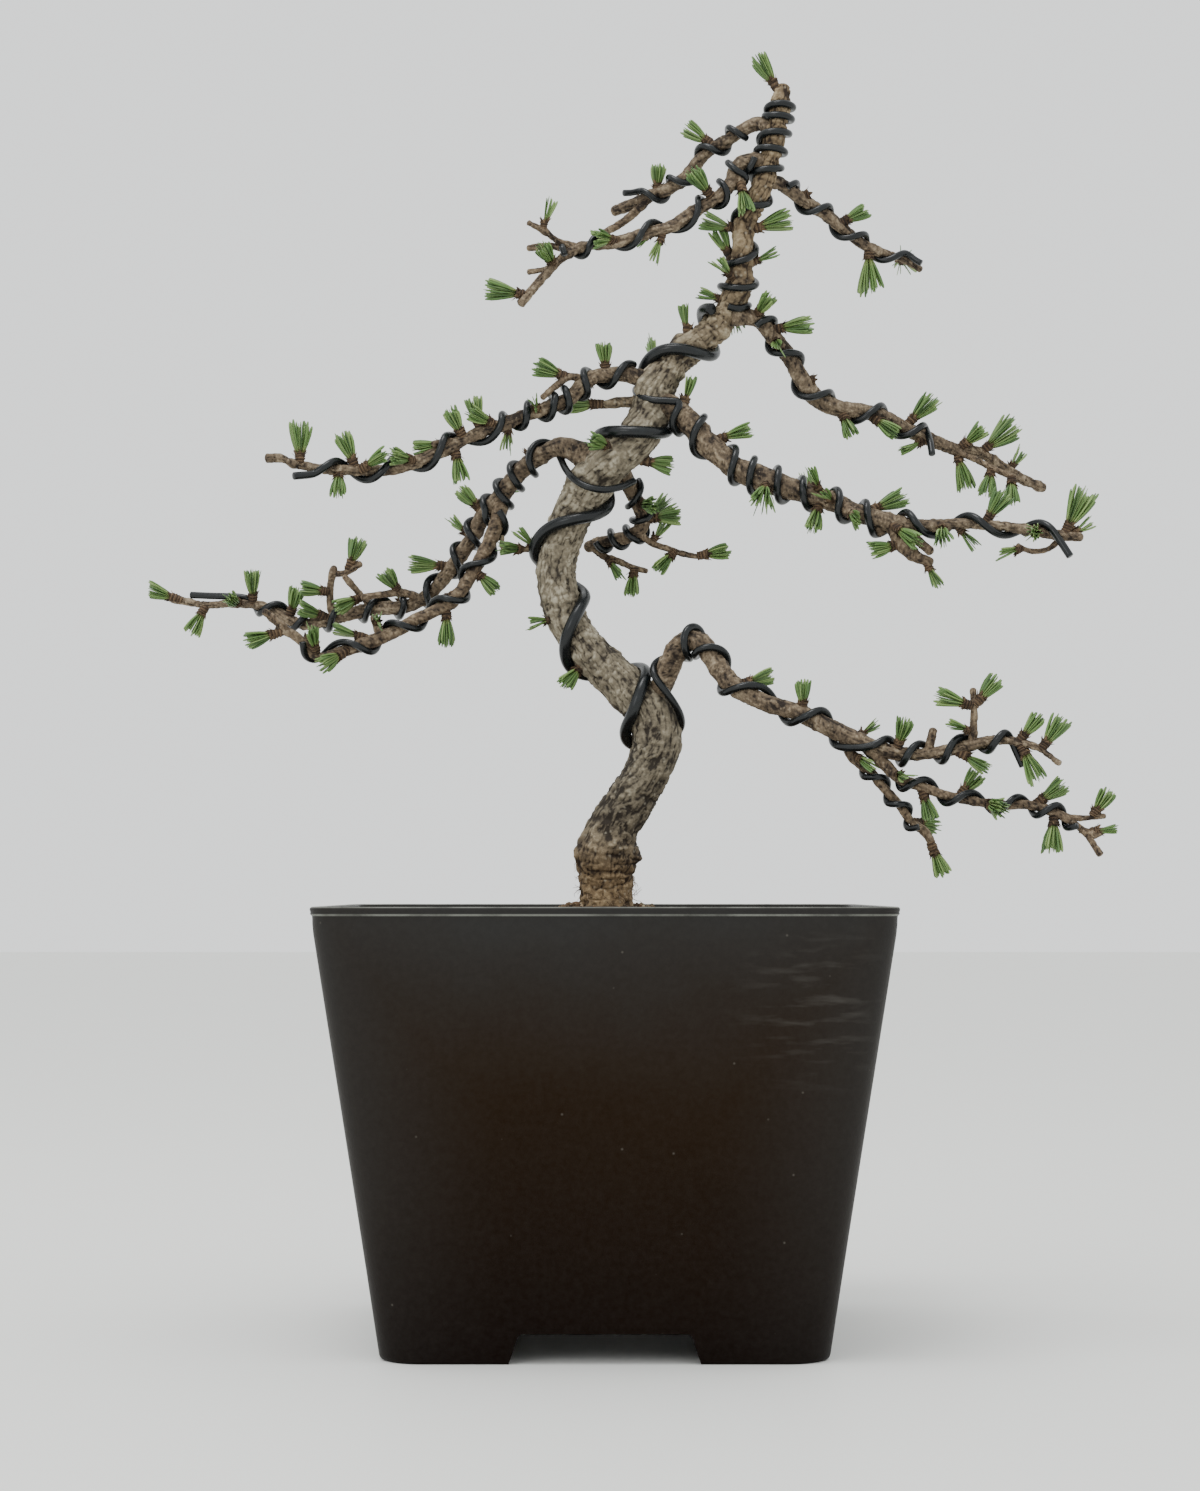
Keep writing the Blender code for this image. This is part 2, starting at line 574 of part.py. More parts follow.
def drawn_limb(rows, start, end):
    """A limb from rows of (across, down, half-width), its depth eased from START to END metres."""
    rows = np.array(rows, float)
    lengths = np.linalg.norm(np.diff(rows[:, :2], axis=0), axis=1)
    share = np.concatenate(((0.0,), np.cumsum(lengths))) / lengths.sum()
    toward = start + (end - start) * share
    return Limb([tuple(r) for r in rows[:, :2]], toward, rows[:, 2])


def limbs_of(stem):
    """The main limb of a stem and its side limbs, each starting inside the one it grows from."""
    spec = STEMS[stem]
    if spec["main"] is None:
        main = Limb(
            [(x, y) for x, y, _, _ in TRUNK],
            [0.001 * t for _, _, t, _ in TRUNK],
            [w for _, _, _, w in TRUNK],
        )
    else:
        main = drawn_limb(spec["main"], *(0.001 * d for d in spec["depth"]))
    limbs = [main]
    for gain, rows in spec["side"]:
        across, down = rows[0][:2]
        parent = min(limbs, key=lambda limb: limb.nearest(across, down)[1])
        start = parent.depth_at(parent.nearest(across, down)[0])
        limbs.append(drawn_limb(rows, start, start + 0.001 * gain))
    return limbs


class Clearance:
    """The space already taken, as tapered capsules with an owner."""

    def __init__(self):
        self.owners = []
        self.rows = []
        self.table = None

    def add(self, owner, capsules):
        for a, b, ra, rb in capsules:
            self.owners.append(owner)
            self.rows.append(np.concatenate((a, b, (ra, rb))))
        self.table = None

    def select(self, without):
        """The capsules of every owner but those in WITHOUT."""
        if self.table is None:
            self.table = np.array(self.rows)
            self.names = np.array(self.owners)
        return self.table[~np.isin(self.names, list(without))]


def distances(points, table):
    """Distance of each point from each capsule's surface, and the way out of it."""
    starts, ends = table[:, :3], table[:, 3:6]
    legs = ends - starts
    offset = points[:, None, :] - starts[None]
    share = (offset * legs).sum(-1) / np.maximum((legs * legs).sum(-1), TINY)
    share = np.clip(share, 0, 1)
    away = offset - share[..., None] * legs
    far = np.linalg.norm(away, axis=-1)
    radius = table[:, 6] + (table[:, 7] - table[:, 6]) * share
    return far - radius, away / np.maximum(far, TINY)[..., None]


def relaxed(points, radius, table):
    """The wire's points moved out of the space that is taken."""
    need = radius + WIRE_GAP
    low, high = points.min(0) - NEAR, points.max(0) + NEAR
    near = (np.minimum(table[:, :3], table[:, 3:6]) < high).all(1)
    near &= (np.maximum(table[:, :3], table[:, 3:6]) > low).all(1)
    table = table[near]
    for _ in range(RELAX_ROUNDS):
        for share in RELAX_SHARES:
            samples = points if share == 0 else points[:-1] * (1 - share) + points[1:] * share
            gap, away = distances(samples, table)
            worst = gap.argmin(1)
            rows = np.arange(len(samples))
            short = np.clip(need - gap[rows, worst], 0, MOST_PUSH)[:, None]
            push = away[rows, worst] * short
            if share == 0:
                points = points + push
            else:
                points[:-1] += push * PUSH_SHARE
                points[1:] += push * PUSH_SHARE
    return points


def coil(limb, course, radius, steps):
    """Points along a wire that winds round a limb."""
    marks = np.array([limb.nearest(x, y)[0] for x, y, _ in course])
    marks = np.maximum.accumulate(marks + np.arange(len(marks)) * 1e-6)
    turns = np.array([t for _, _, t in course])
    points = []
    for a, b, ta, tb in zip(marks[:-1], marks[1:], turns[:-1], turns[1:]):
        count = max(1, round(abs(tb - ta) * steps), math.ceil((b - a) / LONGEST_WIRE_LEG))
        for i in range(count):
            points.append((a + (b - a) * i / count, ta + (tb - ta) * i / count))
    points.append((marks[-1], turns[-1]))
    spread = 1 / math.cos(math.pi / steps)
    found = []
    for length, turn in points:
        centre, wood, _ = limb.at(length)
        before, after = limb.at(length - 0.002)[0], limb.at(length + 0.002)[0]
        front, side = across_axes(unit(after - before))
        reach = (wood + WIRE_GAP + radius) * spread
        angle = 2 * math.pi * turn
        found.append(centre + reach * (math.cos(angle) * front + math.sin(angle) * side))
    return np.array(found)


def lay_wires(limbs, taken):
    """The centre line of every wire, each clear of the wood and of the wires before it."""
    routes = {}
    for name, (stem, number, radius, lead, course, tail) in WIRES.items():
        points = coil(limbs[stem][number], course, radius, WIRE_STEPS)
        ends = [[place(x, y, 0.001 * t) for x, y, t in rows] for rows in (lead, tail)]
        points = np.array(ends[0] + list(points) + ends[1])
        points = relaxed(points, radius, taken.select(()))
        routes[name] = points
        taken.add(name, [(a, b, radius, radius) for a, b in zip(points[:-1], points[1:])])
    return routes


def tube(points, radii, sides, spin=0.0):
    """Vertices and faces of a closed round body along a path."""
    points = np.asarray(points)
    directions = tangents(points)
    front, side = across_axes(directions[0])
    vertices = []
    for centre, direction, radius in zip(points, directions, radii):
        front = unit(front - direction * front.dot(direction))
        side = np.cross(direction, front)
        for i in range(sides):
            angle = 2 * math.pi * i / sides + spin
            vertices.append(centre + radius * (math.cos(angle) * front + math.sin(angle) * side))
    faces = [tuple(reversed(range(sides)))]
    for ring in range(len(points) - 1):
        base = ring * sides
        for i in range(sides):
            j = (i + 1) % sides
            faces.append((base + i, base + j, base + sides + j, base + sides + i))
    last = (len(points) - 1) * sides
    faces.append(tuple(range(last, last + sides)))
    return vertices, faces


def mesh_object(name, vertices, faces, collection=None):
    mesh = bpy.data.meshes.new(name)
    mesh.from_pydata([tuple(v) for v in vertices], [], faces)
    mesh.update()
    made = bpy.data.objects.new(name, mesh)
    (collection or bpy.context.scene.collection).objects.link(made)
    return made


def finish(made, finish_name, smooth=True):
    colour, roughness, metallic = FINISHES[finish_name]
    material = bpy.data.materials.new(made.name)
    material.use_nodes = True
    shader = material.node_tree.nodes["Principled BSDF"]
    shader.inputs["Base Color"].default_value = (*colour, 1.0)
    shader.inputs["Roughness"].default_value = roughness
    shader.inputs["Metallic"].default_value = metallic
    made.data.materials.clear()
    made.data.materials.append(material)
    if smooth:
        made.data.shade_smooth()
        made.data.set_sharp_from_angle(angle=FOLD_ANGLE)


def apply_modifiers(made):
    graph = bpy.context.evaluated_depsgraph_get()
    mesh = bpy.data.meshes.new_from_object(made.evaluated_get(graph))
    made.modifiers.clear()
    made.data = mesh
    mesh.name = made.name


def remove_all(objects):
    for helper in list(objects):
        bpy.data.objects.remove(helper, do_unlink=True)


def united(name, bodies, cut=None):
    """One solid from overlapping closed bodies, less the space of CUT."""
    helpers = bpy.data.collections.new(name + "_pieces")
    bpy.context.scene.collection.children.link(helpers)
    made = mesh_object(name, *bodies[0])
    for index, (vertices, faces) in enumerate(bodies[1:]):
        mesh_object(f"{name}_piece_{index}", vertices, faces, helpers)
    if len(bodies) > 1:
        join = made.modifiers.new("join", "BOOLEAN")
        join.operation = "UNION"
        join.operand_type = "COLLECTION"
        join.collection = helpers
        join.solver = "MANIFOLD"
    if cut is not None:
        cutter = mesh_object(name + "_seat", *cut, helpers)
        helpers.objects.unlink(cutter)
        bpy.context.scene.collection.objects.link(cutter)
        seat = made.modifiers.new("seat", "BOOLEAN")
        seat.operation = "DIFFERENCE"
        seat.object = cutter
        seat.solver = "MANIFOLD"
    apply_modifiers(made)
    if cut is not None:
        bpy.data.objects.remove(cutter, do_unlink=True)
    remove_all(helpers.objects)
    bpy.data.collections.remove(helpers)
    return made


def turned(vector, axis, angle):
    """VECTOR turned about AXIS."""
    return (
        vector * math.cos(angle)
        + np.cross(axis, vector) * math.sin(angle)
        + axis * axis.dot(vector) * (1 - math.cos(angle))
    )


def samples_on(start, end, count):
    return np.array([start + (end - start) * i / (count - 1) for i in range(count)])


def is_clear(start, end, radius, table, count=6):
    gap, _ = distances(samples_on(start, end, count), table)
    return float(gap.min()) > radius + GAP + SHOOT_CLEARANCE


def grown_shoot(limbs, row, table, rng):
    """A spur with its needles: a closed body and its capsules, or none where nothing fits."""
    root_across, root_down, tip_across, tip_down, toward, kind = row
    limb = min(limbs, key=lambda one: one.nearest(root_across, root_down)[1])
    start = limb.nearest(root_across, root_down)[0]
    centre = limb.at(start)[0]
    tip = place(tip_across, tip_down, -centre[1] + 0.001 * toward)
    aim = unit(tip - centre)
    reach = np.linalg.norm(tip - centre)
    spur = min(SPUR_LENGTH, SPUR_SHARE * max(reach - limb.at(start)[1], SHORTEST_REACH))
    thick = SPUR_RADIUS * (THIN_SHARE if kind == "thin" else 1.0)
    for shift in SHIFTS:
        for angle in TURNS:
            centre, wood, direction = limb.at(start + shift)
            heading = unit(turned(aim, direction, math.radians(angle)))
            lift = abs(heading.dot(direction))
            out = min(wood / math.sqrt(max(1 - lift * lift, LEAST_LIFT)), MOST_OUT * wood)
            end = centre + heading * (out + spur)
            if not is_clear(centre + heading * out * SURFACE_SHARE, end, thick, table):
                continue
            tips = needles_of(end, heading, reach - out - spur, kind, table, rng)
            if kind == "bud" or tips:
                return shoot_body(centre, heading, end, thick, kind, tips)
    return None, []


def needles_of(end, heading, length, kind, table, rng):
    """Tips of the needles that fan out from the end of a spur, the middle one first."""
    if kind == "bud":
        return []
    length = min(max(length, NEEDLE_SHORTEST), NEEDLE_LONGEST)
    middle = end + heading * length
    if not is_clear(end, middle, NEEDLE_RADIUS, table, 8):
        return []
    front, side = across_axes(heading)
    ring = (SPUR_RADIUS + CORE_RADIUS) / 2
    tips = [middle] + [None] * SPUR_SIDES
    places = range(SPUR_SIDES) if kind == "full" else range(0, SPUR_SIDES, 2)
    for index in places:
        around = SPUR_SPIN + 2 * math.pi * (index + 0.5) / SPUR_SIDES
        out = math.cos(around) * front + math.sin(around) * side
        root = end + heading * SHOULDER / 2 + out * ring
        for _ in range(NEEDLE_TRIES):
            fan = NEEDLE_FAN * rng.uniform(*FAN_SPREAD)
            lean = around + rng.uniform(-LEAN, LEAN)
            lean_out = math.cos(lean) * front + math.sin(lean) * side
            way = math.cos(fan) * heading + math.sin(fan) * lean_out
            tip = root + way * length * rng.uniform(*LENGTH_SPREAD)
            if is_clear(root, tip, NEEDLE_RADIUS, table, 8):
                tips[index + 1] = tip
                break
    return tips


def shoot_body(centre, heading, end, thick, kind, tips):
    """A spur whose end carries one needle on each face of its shoulder round a middle one."""
    vertices, faces = tube([centre, end], (thick * SPUR_ROOT_SHARE, thick), SPUR_SIDES, SPUR_SPIN)
    capsules = [(centre, end, thick, thick)]
    if kind == "bud":
        return (vertices, faces), capsules
    faces.pop()
    middle = end + heading * SHOULDER
    for vertex in vertices[SPUR_SIDES:]:
        vertices.append(middle + (vertex - end) * CORE_RADIUS / thick)
    vertices.append(tips[0])
    capsules.append((end, tips[0], NEEDLE_RADIUS, NEEDLE_RADIUS * NEEDLE_TIP_SHARE))
    for i in range(SPUR_SIDES):
        j = (i + 1) % SPUR_SIDES
        outer, inner = SPUR_SIDES, 2 * SPUR_SIDES
        face = (outer + i, outer + j, inner + j, inner + i)
        faces.append((inner + i, inner + j, 3 * SPUR_SIDES))
        if tips[i + 1] is None:
            faces.append(face)
            continue
        vertices.append(tips[i + 1])
        for a, b in zip(face, face[1:] + face[:1]):
            faces.append((a, b, len(vertices) - 1))
        root = (vertices[face[0]] + vertices[face[2]]) / 2
        capsules.append((root, tips[i + 1], NEEDLE_RADIUS, NEEDLE_RADIUS * NEEDLE_TIP_SHARE))
    return (vertices, faces), capsules


def rounded_square(side, corner, height, steps=4):
    """A ring of points round a square with rounded corners."""
    ring = []
    straight = side / 2 - corner
    for quarter in range(4):
        middle = math.pi / 4 + quarter * math.pi / 2
        x = straight * math.copysign(1, math.cos(middle))
        y = straight * math.copysign(1, math.sin(middle))
        for i in range(steps + 1):
            angle = quarter * math.pi / 2 + i * math.pi / 2 / steps
            ring.append((x + corner * math.cos(angle), y + corner * math.sin(angle), height))
    return ring


def loft(rings):
    """A closed body through rings of equal length, capped at both ends."""
    count = len(rings[0])
    vertices = [point for ring in rings for point in ring]
    faces = [tuple(reversed(range(count)))]
    for level in range(len(rings) - 1):
        base = level * count
        for i in range(count):
            j = (i + 1) % count
            faces.append((base + i, base + j, base + count + j, base + count + i))
    last = (len(rings) - 1) * count
    faces.append(tuple(range(last, last + count)))
    return vertices, faces


def pot_side(height):
    return POT_BASE_SIDE + (POT_TOP_SIDE - POT_BASE_SIDE) * height / POT_HEIGHT


def pot_corner(height):
    return POT_CORNER_BASE + (POT_CORNER_TOP - POT_CORNER_BASE) * height / POT_HEIGHT


def cut_by(made, cutters):
    """Cutters taken out of a solid, with each left as a hidden guide."""
    for cutter in cutters:
        cutter.hide_render = True
        cutter.display_type = "WIRE"
        cut = made.modifiers.new(cutter.name, "BOOLEAN")
        cut.operation = "DIFFERENCE"
        cut.object = cutter


def build_pot():
    lip = POT_HEIGHT - LIP_HEIGHT
    rings = [
        rounded_square(pot_side(0) - 2 * FOOT_ROUNDING, pot_corner(0) - FOOT_ROUNDING, 0.0),
        rounded_square(pot_side(FOOT_ROUNDING), pot_corner(FOOT_ROUNDING), FOOT_ROUNDING),
        rounded_square(pot_side(lip) - 2 * LIP_STEP, pot_corner(lip), lip - LIP_STEP),
        rounded_square(pot_side(lip), pot_corner(lip) + LIP_STEP, lip),
        rounded_square(
            POT_TOP_SIDE, POT_CORNER_TOP + LIP_STEP, POT_HEIGHT - RIM_ROUNDING
        ),
        rounded_square(POT_TOP_SIDE - 2 * RIM_ROUNDING, POT_CORNER_TOP, POT_HEIGHT),
    ]
    inner_top = POT_TOP_SIDE - 2 * POT_WALL
    rings.append(rounded_square(inner_top, POT_CORNER_TOP - INNER_CORNER_LOSS, POT_HEIGHT))
    inner_base = pot_side(FLOOR_TOP) - 2 * POT_WALL
    rings.append(rounded_square(inner_base, POT_CORNER_BASE - 2 * INNER_CORNER_LOSS, FLOOR_TOP))
    pot = mesh_object("pot", *loft(rings))
    base = POT_BASE_SIDE - 2 * FOOT_WALL
    pocket = mesh_object(
        "foot_pocket",
        *loft([
            rounded_square(base, POCKET_CORNER, -CUT_PAST),
            rounded_square(base, POCKET_CORNER, FLOOR_UNDERSIDE),
        ]),
    )
    cutters = [pocket]
    rise = (NOTCH_BASE_WIDTH - NOTCH_TOP_WIDTH) / 2 / FLOOR_UNDERSIDE
    for index in range(2):
        low = NOTCH_BASE_WIDTH / 2 + rise * CUT_PAST
        high = NOTCH_TOP_WIDTH / 2
        reach = POT_BASE_SIDE
        vertices = []
        for along in (-reach, reach):
            corners = (
                (-low, -CUT_PAST), (low, -CUT_PAST),
                (high, FLOOR_UNDERSIDE), (-high, FLOOR_UNDERSIDE),
            )
            for across, height in corners:
                point = (across, along) if index == 0 else (along, -across)
                vertices.append((*point, height))
        faces = [
            (0, 1, 2, 3), (7, 6, 5, 4), (0, 4, 5, 1), (1, 5, 6, 2), (2, 6, 7, 3), (3, 7, 4, 0),
        ]
        cutters.append(mesh_object(f"foot_notch_{index}", vertices, faces))
    for x in (-DRAIN_OFFSET, DRAIN_OFFSET):
        for y in (-DRAIN_OFFSET, DRAIN_OFFSET):
            path = [np.array((x, y, CUT_PAST)), np.array((x, y, FLOOR_TOP + CUT_PAST))]
            cutters.append(
                mesh_object("drain", *tube(path, (DRAIN_RADIUS,) * 2, DRAIN_SIDES))
            )
    cut_by(pot, cutters)
    finish(pot, "pot")
    pot.data.set_sharp_from_angle(angle=SHARP_ANGLE)


def build_soil():
    def side(height):
        share = (height - FLOOR_TOP) / (POT_HEIGHT - FLOOR_TOP)
        inner_base = pot_side(FLOOR_TOP) - 2 * POT_WALL
        inner_top = POT_TOP_SIDE - 2 * POT_WALL
        return inner_base + (inner_top - inner_base) * share - 2 * GAP

    low = FLOOR_TOP + GAP
    corner = POT_CORNER_TOP - INNER_CORNER_LOSS
    top = side(SOIL_EDGE_HEIGHT)
    rise = SOIL_MOUND_HEIGHT - SOIL_EDGE_HEIGHT
    rings = [
        rounded_square(side(low), POT_CORNER_BASE - 2 * INNER_CORNER_LOSS, low),
        rounded_square(top, corner, SOIL_EDGE_HEIGHT),
    ]
    for part, round_part, lift in SOIL_MOUND:
        rings.append(rounded_square(top * part, corner * round_part, SOIL_EDGE_HEIGHT + rise * lift))
    soil = mesh_object("soil", *loft(rings))
    foot = place(TRUNK[0][0], TRUNK[0][1], 0)
    path = [foot - np.array((0, 0, GAP)), np.array((foot[0], foot[1], POT_HEIGHT + CUT_PAST))]
    hole = mesh_object("trunk_hole", *tube(path, (SOIL_HOLE_RADIUS,) * 2, SOIL_HOLE_SIDES))
    cut_by(soil, [hole])
    finish(soil, "soil", smooth=False)


def build_tree():
    limbs = {stem: limbs_of(stem) for stem in STEMS}
    taken = Clearance()
    for stem, found in limbs.items():
        for limb in found:
            taken.add(stem, limb.capsules())
    routes = lay_wires(limbs, taken)
    rng = random.Random(SEED)
    trunk = limbs["trunk"][0]
    seat = tube(trunk.centres, trunk.radii + GAP, TRUNK_SIDES)
    for stem, found in limbs.items():
        bodies = []
        for number, limb in enumerate(found):
            sides = TWIG_SIDES if number else BRANCH_SIDES
            if stem == "trunk" and number == 0:
                sides = TRUNK_SIDES
            bodies.append(tube(limb.centres, limb.radii, sides))
        for row in STEMS[stem]["shoots"]:
            body, capsules = grown_shoot(found, row, taken.select((stem,)), rng)
            if body:
                bodies.append(body)
                taken.add(stem, capsules)
        made = united(stem, bodies, None if stem == "trunk" else seat)
        finish(made, "bark" if stem == "trunk" else "shoot")
    for name, points in routes.items():
        sides = TRUNK_WIRE_SIDES if name == "wire_trunk" else WIRE_SIDES
        radius = WIRES[name][2]
        wire = mesh_object(name, *tube(points, [radius] * len(points), sides))
        finish(wire, "wire")


def main():
    for old in list(bpy.data.objects):
        bpy.data.objects.remove(old, do_unlink=True)
    build_pot()
    build_soil()
    build_tree()


main()
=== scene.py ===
"""Wired larch bonsai in a square plastic pot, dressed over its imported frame.

The tree is laid out on a drawing of its front: a point is (across, down) in drawing units of a
third of a millimetre, and a depth in millimetres toward the front. Growth lays out the limbs,
the wires and the shoots from that drawing, and one class for each sub-assembly then builds its
meshes and gives them their finishes.
"""

from __future__ import annotations

import itertools
import logging
import math
from dataclasses import dataclass, field
from enum import Enum
from random import Random
from typing import Iterable, Sequence

import bpy
import numpy as np
from mathutils import Matrix

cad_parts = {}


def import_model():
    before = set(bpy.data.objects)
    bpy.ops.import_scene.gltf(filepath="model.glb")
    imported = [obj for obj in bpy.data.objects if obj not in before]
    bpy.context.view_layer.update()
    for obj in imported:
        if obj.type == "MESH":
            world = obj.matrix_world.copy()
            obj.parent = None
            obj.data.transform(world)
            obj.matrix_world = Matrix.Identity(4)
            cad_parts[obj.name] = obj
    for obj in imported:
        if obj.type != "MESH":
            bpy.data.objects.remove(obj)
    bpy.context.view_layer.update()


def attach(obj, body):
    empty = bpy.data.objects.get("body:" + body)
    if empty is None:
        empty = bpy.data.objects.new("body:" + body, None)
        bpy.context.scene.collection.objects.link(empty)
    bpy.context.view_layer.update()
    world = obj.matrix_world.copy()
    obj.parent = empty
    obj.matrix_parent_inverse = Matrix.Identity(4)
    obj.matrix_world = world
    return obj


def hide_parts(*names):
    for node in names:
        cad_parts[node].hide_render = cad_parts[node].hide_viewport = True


LOG = logging.getLogger("bonsai")
ROOT_BODY = "root"
TINT = "tint"
TINY = 1e-12
MM = 0.001
# A tint for a piece whose finish reads none.
PLAIN = (0.5, 0.5, 0.5, 1.0)
# The lowest and highest corners of the room that the needles keep to, in metres.
ROOM = ((-0.1591, -0.0901, 0.0), (0.1613, 0.0901, 0.4255))

Colour = tuple[float, float, float]
Array = np.ndarray
Capsule = tuple[Array, Array, float, float]
Material = bpy.types.Material
Object = bpy.types.Object
Socket = bpy.types.NodeSocket


class Slot(Enum):
    """The record's material slots."""

    POT = "pot_plastic"
    SOIL = "soil"
    BARK = "bark"
    SHOOTS = "shoots"
    WIRE = "wire"


class ShootKind(Enum):
    """How much a short shoot bears: a full tuft, a tuft of few needles, or a bare spur."""

    FULL = "full"
    THIN = "thin"
    BUD = "bud"


def rows_of(text: str) -> list[tuple[float, ...]]:
    """The rows of a drawn table: commas inside a row, blanks between rows."""
    return [tuple(float(number) for number in row.split(",")) for row in text.split()]


@dataclass(frozen=True)
class StemDrawing:
    """One leafy stem as it is drawn.

    The depth in millimetres of its main limb's start and tip; that limb as rows of across, down
    and half-width; its side limbs, each as the depth that it gains and such rows; and its shoots
    as rows of root across and down, tip across and down, and depth, with a kind unless full.
    """

    depth: tuple[float, float]
    main: str
    side: tuple[tuple[float, str], ...]
    shoots: str

    def shoot_rows(self) -> list[tuple[float, float, float, float, float, ShootKind]]:
        """The shoots, each as its five numbers and its kind."""
        found = []
        for row in self.shoots.split():
            numbers, _, kind = row.partition(":")
            found.append((*rows_of(numbers)[0], ShootKind(kind or "full")))
        return found


@dataclass(frozen=True)
class WireDrawing:
    """One wire as it is drawn, round one limb of a stem: limb 0 is the main one.

    Its course is rows of across, down and turns, where a whole number of turns is a pass across
    the front. Rows of across, down and depth in millimetres lead it in and out. The hidden rows
    are its run behind the trunk, which the frame doesn't have.
    """

    stem: str
    limb: int
    radius: float
    course: str
    lead: str = ""
    tail: str = ""
    hidden_lead: str = ""
    hidden_course: str = ""

    def path(self, hidden: bool) -> tuple[list, list, list]:
        """Its lead, course and tail as rows.

        Args:
            hidden: Whether the run behind the trunk is in them.

        Returns:
            The three lists of rows.
        """
        lead, course = rows_of(self.lead), rows_of(self.course)
        if hidden:
            before = rows_of(self.hidden_lead)
            lead = before + lead[-1:] if before else lead
            course = rows_of(self.hidden_course) + course
        return lead, course, rows_of(self.tail)


# The trunk: across, down, depth, and half-width in drawing units.
TRUNK = rows_of("""606,966,0,25 606,915,0,26.5 606,882,0,26.5 607,852,1,31 612,830,2,26
  630,800,3,24.5 647,772,4,23.5 656,745,4,24.5 652,716,3,24 628,690,1,21 601,664,-1,20.5
  578,638,-3,19.5 562,608,-4,19.5 556,577,-4,20 562,543,-3,20 575,512,-1,20 590,486,1,21
  609,462,3,22 634,441,4,21 648,416,3,19.5 657,390,2,19 671,366,0,17 694,345,-2,15 716,326,-3,14
  731,305,-2,13.5 739,285,0,14 741,268,1,12 743,248,2,9.5 744,228,2,10 753,205,3,10.5
  764,182,4,10.5 769,160,4,10.5 774,138,3,11 779,115,2,10 782,97,1,8.5 783,89,1,7""")

